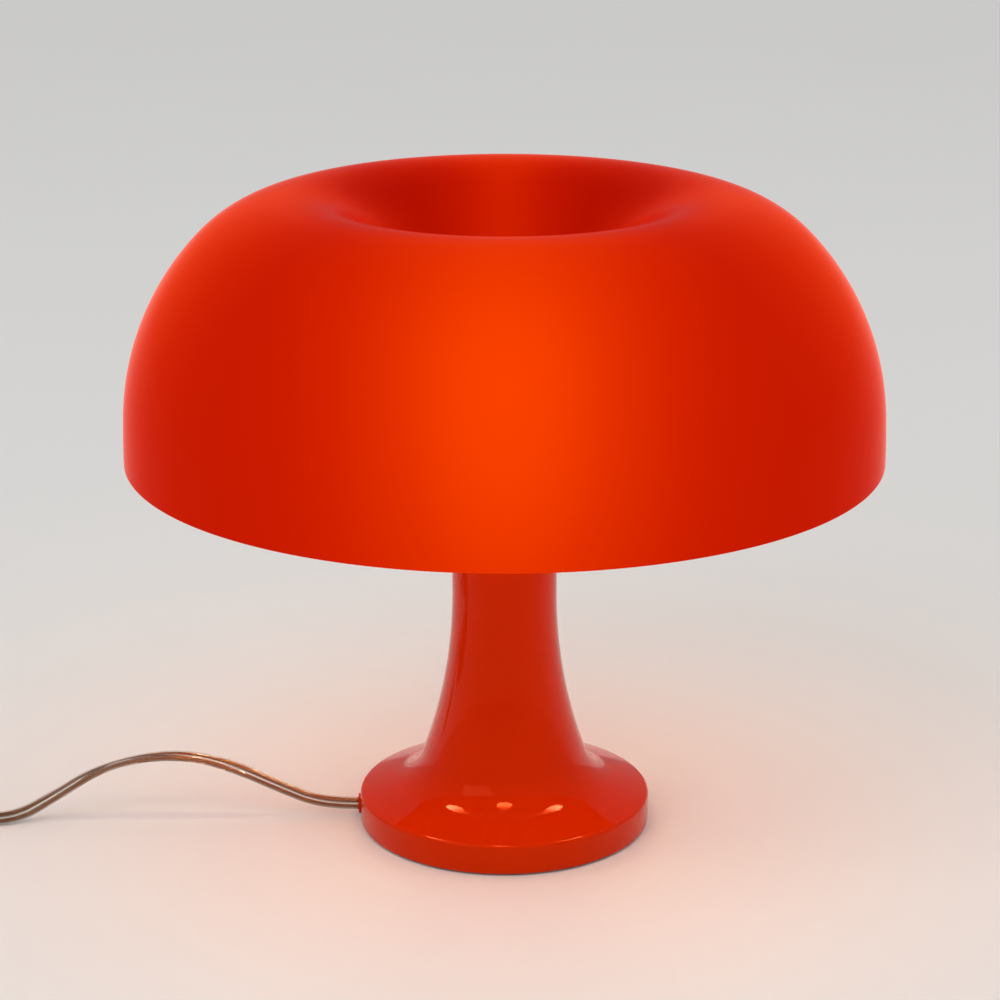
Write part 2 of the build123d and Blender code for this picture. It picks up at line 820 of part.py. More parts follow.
def cords():
    """The cord from the foot to the plug: arch, run, coil and tail, at its full length."""
    lead = route(lead_route)
    run = route(run_route)
    tail_length = route(tail_steps).length
    inside_switch = switch_length - 2 * switch_cord_reach
    taken = lead.length + inside_switch + run.length + tail_length + 2 * cord_width
    steps = [min(k, coil_half_turns - 1 - k) for k in range(coil_half_turns)]
    shrink = coil_pitch / 2 * sum(steps)
    first_radius = ((cord_length - taken) / math.pi + shrink) / coil_half_turns
    x = run_route[-1][0] - cord_width
    y = run_route[-1][1]
    z = run_route[-1][2]
    pieces = [Line((x + cord_width, y, z), (x, y, z))]
    for k, step in enumerate(steps):
        radius = first_radius - coil_pitch / 2 * step
        way = 1 if k % 2 == 0 else -1
        rise = coil_pitch if k == coil_half_turns // 2 else 0
        half = math.hypot(radius, rise / 2)
        middle = (x - way * half, y + way * radius, z + rise / 2)
        end = (x, y + 2 * way * radius, z + rise)
        pieces.append(ThreePointArc((x, y, z), middle, end))
        y = end[1]
        z = end[2]
    coil_end = Vector(x + cord_width, y, z)
    pieces.append(Line((x, y, z), coil_end))
    coil = Wire([piece.edge() for piece in pieces])
    tail_route = [coil_end + Vector(*step) for step in tail_steps]
    tail = route([tuple(point) for point in tail_route])
    report(lead, run, coil, tail, inside_switch, first_radius)
    return {
        "cord_lead": swept(lead, cord_radius),
        "cord_run": swept(run, cord_radius),
        "cord_coil": swept(coil, cord_radius),
        "cord_tail": swept(tail, cord_radius),
    }, tail_route[-1]


def report(lead, run, coil, tail, inside_switch, first_radius):
    """Prints the cord's length, its bend radii and the coil's least gap to itself."""
    total = lead.length + run.length + coil.length + tail.length + inside_switch
    print("cord length", round(total, 1), "first coil radius", round(first_radius, 2))
    for name, points in (("lead", lead_route), ("run", run_route), ("tail", tail_steps)):
        print(name, "radii", [round(radius, 1) for radius in corner_radii(points)])
    count = 900
    points = [tuple(coil.position_at(i / count)) for i in range(count + 1)]
    apart = int(count * 4 * cord_width / coil.length)
    least = min(
        math.dist(points[i], points[j])
        for i in range(0, count, 2)
        for j in range(i + apart, count + 1)
    )
    print("coil least gap to itself", round(least - cord_width, 3))


def grommet():
    """The flanged bush that the cord passes in the foot's wall."""
    inner_face = foot_wall + grommet_flange
    face = outline(
        Polyline(
            (-grommet_flange, cord_radius + slip_gap / 2),
            (inner_face, cord_radius + slip_gap / 2),
            (inner_face, grommet_flange_radius),
            (foot_wall, grommet_flange_radius),
            (foot_wall, grommet_radius),
            (0, grommet_radius),
            (0, grommet_flange_radius),
            (-grommet_flange, grommet_flange_radius),
            close=True,
        )
    )
    bush = revolve(Plane.XZ * face, Axis.X)
    bush = Pos(-foot_radius, 0, cord_exit_height) * bush
    skin = foot_form(0, column_top, 0) - foot_form(foot_wall, column_top, -overrun)
    hole = Pos(-foot_radius, 0, cord_exit_height) * Rot(0, 90, 0)
    hole *= Cylinder(grommet_radius + thread_gap / 2, 4 * foot_wall)
    return bush - (skin - hole)


def inner_cord():
    """The cord from the grommet to its stripped end, up to the clamp."""
    points = [
        (cord_exit, 0, cord_exit_height),
        (cord_exit + foot_wall + 2 * grommet_flange + inner_cord_straight, 0, cord_exit_height),
        (-clamp_reach - clamp_length / 2 - 2 * clamp_play, 0, inner_cord_z),
        (inner_cord_end, 0, inner_cord_z),
    ]
    return swept(FilletPolyline(*points, radius=inner_cord_bend), cord_radius)


def cord_clamp():
    """The bar that presses the cord against the weight, and its two screws."""
    top = inner_cord_z - cord_radius
    bar = Pos(-clamp_reach, 0, top - clamp_thickness / 2)
    bar *= Box(clamp_length, clamp_width, clamp_thickness)
    places = Pos(-clamp_reach, 0, top - clamp_thickness)
    places *= GridLocations(1, 2 * clamp_screw_spread, 1, 2)
    bar -= places * Cylinder(screw_radius + slip_gap, 4 * clamp_thickness)
    length = cover_top + channel_height + clamp_screw_depth - top + clamp_thickness - casting_gap
    screw = pan_screw(screw_radius, length, screw_head_radius, clamp_screw_head_height)
    return {
        "cord_clamp_bar": bar,
        "cord_clamp_screws": group(*(place * screw for place in places)),
    }


# ---------------------------------------------------------------- inline switch
def switch_block(inset, bottom, top):
    """The switch's round-cornered form, made smaller by inset, between two heights."""
    plan = RectangleRounded(
        switch_length - 2 * inset, switch_width - 2 * inset, switch_corner - inset
    )
    return Pos(switch_x, switch_y, bottom) * extrude(plan, top - bottom)


def switch_screw_places():
    """The middles of the two housing screws, on one diagonal."""
    return [
        Pos(switch_x + side * switch_screw_spread, switch_y + side * switch_screw_side, 0)
        for side in (-1, 1)
    ]


def switch_pieces():
    """The switch's two shells, rocker, pivot pin, contacts and screws."""
    split = switch_cord_height
    cord_way = Pos(switch_x, switch_y, split) * Rot(0, 90, 0)
    cord_way *= Cylinder(cord_radius + slip_gap / 2, 2 * switch_length)
    lower = switch_block(0, 0, split)
    lower = fillet(lower.edges().group_by(Axis.Z)[0], switch_edge / 2)
    lower -= switch_block(switch_wall, switch_wall, split)
    upper = switch_block(0, split, switch_height)
    upper = fillet(upper.edges().group_by(Axis.Z)[-1], switch_edge)
    upper -= switch_block(switch_wall, split, switch_height - switch_wall)
    window = Pos(switch_x, switch_y, switch_height)
    window_length = rocker_length + 2 * rocker_gap
    window_width = rocker_width + 2 * rocker_side_gap
    window *= Box(window_length, window_width, 2 * (pivot_drop + rocker_depth))
    ear_y = rocker_width / 2 + rocker_side_gap + rocker_ear_width / 2
    ear_bottom = pivot_z - rocker_ear_drop
    ear_height = switch_height - switch_wall / 2 - ear_bottom
    for side in (-1, 1):
        ear = Pos(switch_x, switch_y + side * ear_y, ear_bottom + ear_height / 2)
        upper += ear * Box(rocker_ear_length, rocker_ear_width, ear_height)
    upper -= window
    pin_half = rocker_width / 2 + rocker_side_gap + rocker_ear_width
    pin = Pos(switch_x, switch_y, pivot_z) * Rot(90, 0, 0)
    upper -= pin * Cylinder(pivot_radius + thread_gap, 2 * pin_half + thread_gap)
    post = Circle(screw_radius + switch_post_wall)
    upper_post = switch_height - switch_wall - split
    for place in switch_screw_places():
        lower += place * Pos(0, 0, switch_wall / 2) * extrude(post, split - switch_wall / 2)
        upper += place * Pos(0, 0, split) * extrude(post, upper_post)
        lower -= place * extrude(Circle(screw_radius + slip_gap), split)
        lower -= place * extrude(Circle(screw_head_radius + slip_gap), switch_screw_bottom)
        thread = extrude(Circle(screw_radius + thread_gap), screw_depth + casting_gap)
        upper -= place * Pos(0, 0, split) * thread
    pivot_pin = pin * Cylinder(pivot_radius, 2 * (pin_half - pivot_end_gap))
    return lower - cord_way, upper - cord_way, pivot_pin


def switch_screws():
    """The housing's two screws, heads underneath."""
    length = switch_cord_height - switch_screw_bottom + screw_depth
    screw = pan_screw(screw_radius, length, screw_head_radius, clamp_screw_head_height)
    screw = Pos(0, 0, switch_screw_bottom) * screw
    return group(*(place * screw for place in switch_screw_places()))


def switch_contacts():
    """Two live terminals and the neutral link, on the lower shell's floor."""
    length, _, height = switch_terminal
    z = switch_wall + height / 2
    reach = switch_length / 2 - switch_wall - switch_terminal_inset - length / 2
    blocks = [
        Pos(switch_x + side * reach, switch_y + switch_terminal_side, z) * Box(*switch_terminal)
        for side in (-1, 1)
    ]
    link = Pos(switch_x, switch_y - switch_terminal_side, z)
    link *= Box(2 * reach + length, switch_link_width, height)
    return group(*blocks, link)


def rocker():
    """The rocker, tipped to its on side, and the brass strip under it."""
    half = rocker_length / 2
    top = pivot_drop + rocker_stand
    bottom = top - rocker_depth
    side = outline(
        Polyline(
            (-half, top - rocker_end_height),
            (-half + rocker_end_lean, top),
            (0, top - rocker_dish),
            (half - rocker_end_lean, top),
            (half, top - rocker_end_height),
            (rocker_foot_length / 2, bottom),
            (-rocker_foot_length / 2, bottom),
            close=True,
        )
    )
    body = extrude(Plane.XZ * side, rocker_width / 2, both=True)
    body -= Rot(90, 0, 0) * Cylinder(pivot_radius + thread_gap, 2 * rocker_width)
    strip = Pos(0, 0, bottom - strip_thickness / 2) * Box(half, rocker_width / 2, strip_thickness)
    place = Pos(switch_x, switch_y, pivot_z) * Rot(0, rocker_throw / 2, 0)
    return place * body, place * strip


# ---------------------------------------------------------------- plug
def plug_pieces(end):
    """The moulded two-pin plug behind the cord's end, pointing to -X."""
    place = Pos(end.X, end.Y, end.Z)
    back = -relief_length
    front = back - plug_length
    plan = outline(
        Polyline(
            (back, plug_back_width / 2),
            (back - plug_taper, plug_width / 2),
            (front, plug_width / 2),
            (front, -plug_width / 2),
            (back - plug_taper, -plug_width / 2),
            (back, -plug_back_width / 2),
            close=True,
        )
    )
    body = Pos(0, 0, -plug_thickness / 2) * extrude(plan, plug_thickness)
    body = fillet(body.edges().filter_by(Axis.Z), plug_edge)
    levels = body.edges().group_by(Axis.Z)
    body = fillet(levels[0] + levels[-1], plug_face_edge)
    root = back - relief_root_depth
    relief = outline(
        Polyline((0, 0), (0, relief_radius), (root, relief_root_radius), (root, 0), close=True)
    )
    body += revolve(Plane.XZ * relief, Axis.X)
    core = pin_radius - pin_sleeve_wall
    pins = []
    sleeves = []
    tip = front - pin_length
    neck = front - pin_sleeve_length
    pin = box_outline(neck, 0, front, core) + box_outline(tip, 0, neck, pin_radius)
    pin = revolve(Plane.XZ * softened(pin, ((tip, pin_radius), pin_tip_fillet)), Axis.X)
    cover = box_outline(neck, core + thread_gap, front, pin_radius)
    cover = revolve(Plane.XZ * cover, Axis.X)
    for side in (-1, 1):
        pins.append(Pos(0, side * pin_spacing / 2, 0) * pin)
        sleeves.append(Pos(0, side * pin_spacing / 2, 0) * cover)
    return {
        "plug_body": place * body,
        "plug_pins": place * group(*pins),
        "plug_pin_sleeves": place * group(*sleeves),
    }


# ---------------------------------------------------------------- the lamp
def lamp():
    """Every piece of the lamp, by name."""
    holder = bulb_holder()
    glass = bulb_glass_shell()
    cap = bulb_cap()
    cord_pieces, cord_end = cords()
    lower, upper, pin = switch_pieces()
    rocker_body, rocker_strip = rocker()
    pieces = {
        "foot_moulding": foot_moulding(),
        "ballast_weight": ballast_weight(),
        "bottom_cover": bottom_cover(),
        "bottom_cover_screws": bottom_cover_screws(),
        "floor_ring": floor_ring(),
        **stem_pieces(),
        "hub_housing": hub_housing(),
        "hub_cover": hub_cover(),
        "hub_cover_screws": hub_cover_screws(),
        "shade_stud": shade_stud(),
        "shade_seat_gasket": tube_between(
            seat_inner_radius, seat_outer_radius, hub_cover_top, seat_top
        ),
        "screw_shells": screw_shells(),
        "centre_contacts": centre_contacts(),
        "holder_nuts": holder_nuts(),
        "bulb_tips": bulb_tips(),
        "bulb_stems": bulb_stems(),
        "bulb_filaments": bulb_filaments(),
        "terminal_block": terminal_block(),
        "terminal_screws": terminal_screws(),
        "supply_wires": supply_wires(),
        "riser_wires": riser_wires(),
        "connection_block": connection_block(),
        "holder_leads": holder_leads(),
        "shade_shell": shade_shell(),
        "lock_cap": lock_cap(),
        "lock_cap_insert": lock_cap_insert(),
        "lock_cap_washer": tube_between(
            stem_radius + hole_gap / 2, cap_washer_radius, dimple_floor, knob_bottom
        ),
        "cord_grommet": grommet(),
        "cord_inner": inner_cord(),
        **cord_clamp(),
        **cord_pieces,
        "switch_lower_shell": lower,
        "switch_upper_shell": upper,
        "switch_rocker": rocker_body,
        "switch_rocker_contact": rocker_strip,
        "switch_pivot_pin": pin,
        "switch_contacts": switch_contacts(),
        "switch_screws": switch_screws(),
        **plug_pieces(cord_end),
    }
    for name, angle in holder_angles.items():
        pieces[f"bulb_holder_{name}"] = Rot(0, 0, angle) * holder
        pieces[f"bulb_glass_{name}"] = Rot(0, 0, angle) * glass
        pieces[f"bulb_cap_{name}"] = Rot(0, 0, angle) * cap
    return pieces


os.makedirs("parts", exist_ok=True)
for name, piece in lamp().items():
    export_step(piece, f"parts/{name}.step")
print("rim", round(rim_height, 2), "crest", round(crest_height, 2))
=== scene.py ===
"""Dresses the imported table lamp: finishes, lit shade, bulbs, flat twin cord, plug and studio."""

import logging
import math
from collections.abc import Callable
from dataclasses import dataclass, field
from enum import Enum

import bmesh
import bpy
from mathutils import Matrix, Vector


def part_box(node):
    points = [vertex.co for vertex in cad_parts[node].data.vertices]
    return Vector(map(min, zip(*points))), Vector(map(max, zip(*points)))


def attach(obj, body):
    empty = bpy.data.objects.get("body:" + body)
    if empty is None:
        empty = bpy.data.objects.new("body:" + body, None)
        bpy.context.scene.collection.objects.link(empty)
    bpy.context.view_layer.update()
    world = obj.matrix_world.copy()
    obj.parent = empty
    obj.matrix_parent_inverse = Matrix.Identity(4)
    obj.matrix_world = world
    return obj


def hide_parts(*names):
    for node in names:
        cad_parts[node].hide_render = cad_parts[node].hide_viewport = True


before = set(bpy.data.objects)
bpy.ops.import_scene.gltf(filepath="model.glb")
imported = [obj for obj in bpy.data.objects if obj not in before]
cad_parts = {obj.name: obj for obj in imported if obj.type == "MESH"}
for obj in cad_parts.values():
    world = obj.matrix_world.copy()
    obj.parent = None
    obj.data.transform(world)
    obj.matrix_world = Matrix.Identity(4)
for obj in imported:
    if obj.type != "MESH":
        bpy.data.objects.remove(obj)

log = logging.getLogger("lamp")

MM = 0.001
Point = tuple[float, float, float]
Colour = tuple[float, float, float, float]
Tree = bpy.types.NodeTree
Node = bpy.types.Node
Socket = bpy.types.NodeSocket
Outputs = bpy.types.NodeOutputs
Piece = bpy.types.Object
WHITE = (1.0, 1.0, 1.0, 1.0)
# the ways that the four bulbs point
SIDES = ("front", "right", "back", "left")


class Body(Enum):
    """The bodies that this script's own pieces ride on, as the record names them."""

    BASE = "base"
    SHADE = "shade"


# ---------- node graphs
class Graph:
    """Adds nodes to one tree and joins them."""

    def __init__(self, tree: Tree) -> None:
        """Works on the given tree."""
        self.tree = tree

    def feed(self, socket: Socket, value: object) -> None:
        """Links an input to another socket, or sets its plain value."""
        if isinstance(value, Socket):
            self.tree.links.new(value, socket)
        else:
            socket.default_value = value

    def give(self, node: Node, **values: object) -> Node:
        """Feeds a node's inputs by name, an underscore for each space, and returns the node."""
        for key, value in values.items():
            self.feed(node.inputs[key.replace("_", " ")], value)
        return node

    def node(self, kind: str, inputs: dict | None = None, **settings: object) -> Node:
        """Adds a node.

        Args:
            kind: The node's type name.
            inputs: What its inputs get, by name or number.
            **settings: The node's own properties.

        Returns:
            The new node.
        """
        node = self.tree.nodes.new(kind)
        for key, value in settings.items():
            setattr(node, key, value)
        for key, value in (inputs or {}).items():
            self.feed(node.inputs[key], value)
        return node

    def math(self, operation: str, *values: object) -> Socket:
        """Returns the result of one Math node."""
        return self.node("ShaderNodeMath", dict(enumerate(values)), operation=operation).outputs[0]

    def times(self, a: object, b: object, plus: object = 0.0) -> Socket:
        """Returns a product, plus a further value."""
        return self.math("MULTIPLY_ADD", a, b, plus)

    def noise(self, vector: object, scale: object, detail: float = 2.0) -> Socket:
        """Returns the value of a Noise Texture."""
        made = {"Vector": vector, "Scale": scale, "Detail": detail}
        return self.node("ShaderNodeTexNoise", made).outputs["Fac"]

    def mix(self, share: object, a: object, b: object) -> Socket:
        """Returns the mix of two colours."""
        made = {"Factor": share, 6: a, 7: b}
        return self.node("ShaderNodeMix", made, data_type="RGBA").outputs[2]

    def ramp(self, share: object, stops: list[tuple[float, Colour]]) -> Socket:
        """Returns a colour from a Color Ramp with the given stops."""
        node = self.node("ShaderNodeValToRGB", {"Fac": share})
        elements = node.color_ramp.elements
        elements.remove(elements[1])
        elements[0].position, elements[0].color = stops[0]
        for place, colour in stops[1:]:
            elements.new(place).color = colour
        return node.outputs["Color"]

    def spread(self, value: object, low: float, high: float) -> Socket:
        """Returns a value of 0 to 1 brought between low and high."""
        made = {"Value": value, "To Min": low, "To Max": high}
        return self.node("ShaderNodeMapRange", made).outputs["Result"]

    def share(self, value: object, low: float, high: float, **settings: object) -> Socket:
        """Returns how far a value has come from low to high, 0 to 1."""
        made = {"Value": value, "From Min": low, "From Max": high}
        return self.node("ShaderNodeMapRange", made, **settings).outputs["Result"]

    def bump(self, height: object, distance: float) -> Socket:
        """Returns the normal of a Bump node."""
        made = {"Height": height, "Distance": distance, "Strength": 1.0}
        return self.node("ShaderNodeBump", made).outputs["Normal"]

    def place(self) -> Socket:
        """Returns the Object coordinates."""
        return self.node("ShaderNodeTexCoord").outputs["Object"]

    def apart(self, vector: object) -> Outputs:
        """Returns a vector's X, Y and Z."""
        return self.node("ShaderNodeSeparateXYZ", {"Vector": vector}).outputs

    def vector(self, **parts: object) -> Socket:
        """Returns a vector of X, Y and Z."""
        return self.node("ShaderNodeCombineXYZ", parts).outputs["Vector"]

    def group(self, tree: Tree, **inputs: object) -> Outputs:
        """Places a shader node group with its inputs by name, and returns its outputs."""
        return self.give(self.node("ShaderNodeGroup", node_tree=tree), **inputs).outputs


def node_group(name: str, kind: str, inputs: dict, outputs: dict[str, str],
               fill: Callable[[Graph, Outputs], dict]) -> Tree:
    """Makes a node group.

    Args:
        name: The group's name.
        kind: The type of its tree.
        inputs: By name, a default number, three numbers for a vector, or a socket's kind.
        outputs: Socket kinds by name.
        fill: Called with the graph and the group's inputs, and returns its outputs by name.

    Returns:
        The group.
    """
    tree = bpy.data.node_groups.new(name, kind)
    for key, value in inputs.items():
        worded = isinstance(value, str)
        sort = value if worded else "Vector" if isinstance(value, tuple) else "Float"
        socket = tree.interface.new_socket(name=key, in_out="INPUT", socket_type=f"NodeSocket{sort}")
        if not worded:
            socket.default_value = value
    for key, sort in outputs.items():
        tree.interface.new_socket(name=key, in_out="OUTPUT", socket_type=f"NodeSocket{sort}")
    graph = Graph(tree)
    graph.node("NodeGroupOutput", fill(graph, graph.node("NodeGroupInput").outputs))
    return tree


class GlowShape:
    """Where and how far the bulbs' light spreads in the shade, in metres, and how bright it is, 0 to 1."""

    bowl_radius = 60 * MM
    crest_radius = 96 * MM
    outer_width = 56 * MM
    outer_height = 236 * MM
    outer_rise = 66 * MM
    outer_fall = 112 * MM
    outer_floor = 0.58
    outer_peak = 0.37
    bowl_width = 24 * MM
    bowl_floor = 0.44
    bowl_peak = 0.2


class Effects:
    """The surface effects that several finishes share, each a node group made once."""

    # moulded skin: the mottling's scale as a share of the grain's, and each one's share of the height
    MOTTLE_SCALE = 0.02
    MOTTLE_HEIGHT = 0.6
    GRAIN_HEIGHT = 0.4
    # dust: noise above the threshold is a speck, and patches thin the specks out
    SPECK_SCALE = 1400.0
    SPECK_THRESHOLD = 0.62
    PATCH_SCALE = 22.0
    UPWARD_POWER = 2.0
    # wear: pointiness above the threshold is an edge
    EDGE_THRESHOLD = 0.52
    EDGE_GAIN = 9.0
    CHIP_SCALE = 260.0

    def __init__(self) -> None:
        """Builds the groups."""
        self.skin = self._group("moulded_skin", {"Grain": 900.0}, ("Height", "Mottle"), self._skin)
        self.dust = self._group("dust_film", {"Amount": 0.5}, ("Mask",), self._dust)
        self.wear = self._group("edge_wear", {"Reach": 0.5}, ("Mask",), self._wear)
        stretch = {"Stretch": (40.0, 900.0, 900.0)}
        self.brushed = self._group("brushed_lines", stretch, ("Lines",), self._brushed)
        self.glow = self._group("bulb_glow", {}, ("Glow",), self._glow)

    @staticmethod
    def _group(name: str, inputs: dict, outputs: tuple[str, ...], fill: Callable) -> Tree:
        """Returns a shader group that takes a vector and further inputs, and gives plain values."""
        given = {"Vector": (0.0, 0.0, 0.0), **inputs}
        return node_group(name, "ShaderNodeTree", given, dict.fromkeys(outputs, "Float"), fill)

    def _skin(self, graph: Graph, given: Outputs) -> dict:
        """A faint orange-peel height and a broad mottling."""
        fine = graph.noise(given["Vector"], given["Grain"], 2.0)
        scale = graph.times(given["Grain"], self.MOTTLE_SCALE)
        broad = graph.noise(given["Vector"], scale, 3.0)
        peel = graph.times(fine, self.GRAIN_HEIGHT)
        return {"Height": graph.times(broad, self.MOTTLE_HEIGHT, peel), "Mottle": broad}

    def _dust(self, graph: Graph, given: Outputs) -> dict:
        """Specks that settle on what faces up."""
        up = graph.apart(graph.node("ShaderNodeNewGeometry").outputs["Normal"])["Z"]
        upward = graph.math("POWER", graph.math("MAXIMUM", up, 0.0), self.UPWARD_POWER)
        specks = graph.noise(given["Vector"], self.SPECK_SCALE, 2.0)
        patches = graph.noise(given["Vector"], self.PATCH_SCALE, 3.0)
        sparse = graph.math("MAXIMUM", graph.math("SUBTRACT", specks, self.SPECK_THRESHOLD), 0.0)
        mask = graph.times(graph.times(sparse, patches), upward)
        return {"Mask": graph.times(mask, given["Amount"])}

    def _wear(self, graph: Graph, given: Outputs) -> dict:
        """Rubbed edges, broken up by noise."""
        pointed = graph.node("ShaderNodeNewGeometry").outputs["Pointiness"]
        above = graph.math("SUBTRACT", pointed, self.EDGE_THRESHOLD)
        edge = graph.math("MAXIMUM", graph.times(above, self.EDGE_GAIN), 0.0)
        mask = graph.times(edge, graph.noise(given["Vector"], self.CHIP_SCALE, 4.0))
        return {"Mask": graph.math("MINIMUM", graph.times(mask, given["Reach"]), 1.0)}

    @staticmethod
    def _brushed(graph: Graph, given: Outputs) -> dict:
        """Long fine scratches along one way."""
        made = {"Vector": given["Vector"], "Scale": given["Stretch"]}
        stretched = graph.node("ShaderNodeMapping", made).outputs["Vector"]
        return {"Lines": graph.noise(stretched, 1.0, 3.0)}

    @classmethod
    def _glow(cls, graph: Graph, given: Outputs) -> dict:
        """How brightly the four bulbs light each point of the shade, 0 to 1."""
        shape = GlowShape
        parts = graph.apart(given["Vector"])
        x = graph.math("ABSOLUTE", parts["X"])
        y = graph.math("ABSOLUTE", parts["Y"])
        beside = graph.math("MINIMUM", x, y)
        squares = graph.times(x, x, graph.times(y, y))
        radius = graph.math("SQRT", squares)
        outside = graph.share(
            radius, shape.bowl_radius, shape.crest_radius, interpolation_type="SMOOTHSTEP"
        )
        above = graph.math("SUBTRACT", parts["Z"], shape.outer_height)
        up = graph.math("DIVIDE", above, shape.outer_rise)
        down = graph.math("DIVIDE", above, -shape.outer_fall)
        level = cls._bell(graph, graph.math("MAXIMUM", up, down))
        across = cls._bell(graph, graph.math("DIVIDE", beside, shape.outer_width))
        hot = graph.times(across, level)
        in_bowl = cls._bell(graph, graph.math("DIVIDE", beside, shape.bowl_width))
        outer = graph.times(hot, shape.outer_peak, shape.outer_floor)
        inner = graph.times(in_bowl, shape.bowl_peak, shape.bowl_floor)
        far = graph.times(outer, outside)
        near = graph.times(inner, graph.math("SUBTRACT", 1.0, outside))
        return {"Glow": graph.math("ADD", far, near)}

    @staticmethod
    def _bell(graph: Graph, off: object) -> Socket:
        """Returns a bell curve, 1 at the middle, of a distance in shares of its width."""
        return graph.math("EXPONENT", graph.times(graph.times(off, off), -1.0))


EFFECTS = Effects()


# ---------- finishes
@dataclass(frozen=True)
class Finish:
    """A surface finish. Subclasses fill in the nodes."""

    name: str
    colour: Colour
    roughness: float

    # the roughness varies between these shares of its value
    SPAN = (1.0, 1.0)

    def material(self) -> bpy.types.Material:
        """Returns the finish's material, made on first use."""
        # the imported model's own materials already hold the plain names
        name = f"dressed_{self.name}"
        found = bpy.data.materials.get(name)
        if found:
            return found
        made = bpy.data.materials.new(name)
        made.use_nodes = True
        graph = Graph(made.node_tree)
        shader = made.node_tree.nodes["Principled BSDF"]
        graph.give(shader, Base_Color=self.colour, Roughness=self.roughness)
        graph.give(shader, **self.dress(graph))
        return made

    def dress(self, graph: Graph) -> dict:
        """Adds the finish's own nodes and returns what the shader's inputs get."""
        return {}

    def scaled(self, gain: float, lift: float = 0.0) -> Colour:
        """Returns the colour times gain plus lift, at most 1."""
        return (*(min(1.0, c * gain + lift) for c in self.colour[:3]), 1.0)

    def roughened(self, graph: Graph, share: Socket) -> Socket:
        """Returns the roughness, spread over its span by a share of 0 to 1."""
        low, high = (min(1.0, self.roughness * part) for part in self.SPAN)
        return graph.spread(share, low, high)


@dataclass(frozen=True)
class Moulded(Finish):
    """Moulded plastic: faint peel, broad mottling, rubbed edges and a little dust."""

    grain: float = 900.0
    peel: float = 0.02 * MM
    wear: float = 0.3
    dust: float = 0.4
    tint: Colour = WHITE
    specular: float = 0.5

    SPAN = (0.8, 1.25)
    MOTTLED = 0.9
    RUBBED_GAIN = 1.25
    RUBBED_LIFT = 0.02
    RUBBED_ROUGHER = 0.15
    DUST_ROUGHER = 0.6
    DUST_COLOUR = (0.62, 0.58, 0.54, 1.0)

    def dress(self, graph: Graph) -> dict:
        """Gives colour, roughness and normal from the shared effects."""
        place = graph.place()
        skin = graph.group(EFFECTS.skin, Vector=place, Grain=self.grain)
        worn = graph.group(EFFECTS.wear, Vector=place, Reach=self.wear)["Mask"]
        dust = graph.group(EFFECTS.dust, Vector=place, Amount=self.dust)["Mask"]
        base = graph.mix(skin["Mottle"], self.scaled(self.MOTTLED), self.colour)
        rubbed = graph.mix(worn, base, self.scaled(self.RUBBED_GAIN, self.RUBBED_LIFT))
        rough = self.roughened(graph, skin["Mottle"])
        rough = graph.times(dust, self.DUST_ROUGHER, rough)
        rough = graph.times(worn, self.RUBBED_ROUGHER, rough)
        return dict(
            Base_Color=graph.mix(dust, rubbed, self.DUST_COLOUR), Roughness=rough,
            Normal=graph.bump(skin["Height"], self.peel), Specular_Tint=self.tint,
            Specular_IOR_Level=self.specular,
        )


@dataclass(frozen=True)
class LitShade(Moulded):
    """The shade's plastic with the bulbs' light coming through it."""

    # the red and green light that passes the wall, by how brightly the bulbs light it
    PASSED = (
        (0.0, 0.0, 0.0), (0.44, 0.33, 0.0035), (0.57, 0.435, 0.0075), (0.66, 0.53, 0.0135),
        (0.80, 0.66, 0.0275), (0.95, 0.84, 0.0515),
    )

    def dress(self, graph: Graph) -> dict:
        """Adds the light that passes the wall to the moulded plastic."""
        plastic = super().dress(graph)
        glow = graph.group(EFFECTS.glow, Vector=graph.place())["Glow"]
        stops = [(share, (red, green, 0.0, 1.0)) for share, red, green in self.PASSED]
        return dict(plastic, Emission_Color=graph.ramp(glow, stops), Emission_Strength=1.0)


@dataclass(frozen=True)
class Metal(Finish):
    """Metal with brushed lines and worn edges."""

    SPAN = (0.75, 1.3)
    STRETCH = (60.0, 900.0, 900.0)
    GROOVE = 0.012 * MM
    IN_GROOVES = 0.85
    WEAR = 0.6
    WORN_GAIN = 1.15

    def dress(self, graph: Graph) -> dict:
        """Gives colour, roughness and normal from lines and wear."""
        place = graph.place()
        lines = graph.group(EFFECTS.brushed, Vector=place, Stretch=self.STRETCH)["Lines"]
        worn = graph.group(EFFECTS.wear, Vector=place, Reach=self.WEAR)["Mask"]
        base = graph.mix(lines, self.scaled(self.IN_GROOVES), self.colour)
        return dict(
            Base_Color=graph.mix(worn, base, self.scaled(self.WORN_GAIN)),
            Roughness=self.roughened(graph, lines), Normal=graph.bump(lines, self.GROOVE), Metallic=1.0,
        )


@dataclass(frozen=True)
class Rough(Finish):
    """A rough matt surface such as cast iron, ceramic or rubber."""

    grain: float = 700.0
    depth: float = 0.05 * MM

    SPAN = (0.85, 1.1)
    MOTTLED = 0.75
    DUST = 0.8
    DUST_COLOUR = (0.2, 0.2, 0.2, 1.0)

    def dress(self, graph: Graph) -> dict:
        """Gives colour, roughness and normal from a grain and dust."""
        place = graph.place()
        skin = graph.group(EFFECTS.skin, Vector=place, Grain=self.grain)
        dust = graph.group(EFFECTS.dust, Vector=place, Amount=self.DUST)["Mask"]
        base = graph.mix(skin["Mottle"], self.scaled(self.MOTTLED), self.colour)
        return dict(
            Base_Color=graph.mix(dust, base, self.DUST_COLOUR),
            Roughness=self.roughened(graph, skin["Height"]),
            Normal=graph.bump(skin["Height"], self.depth),
        )


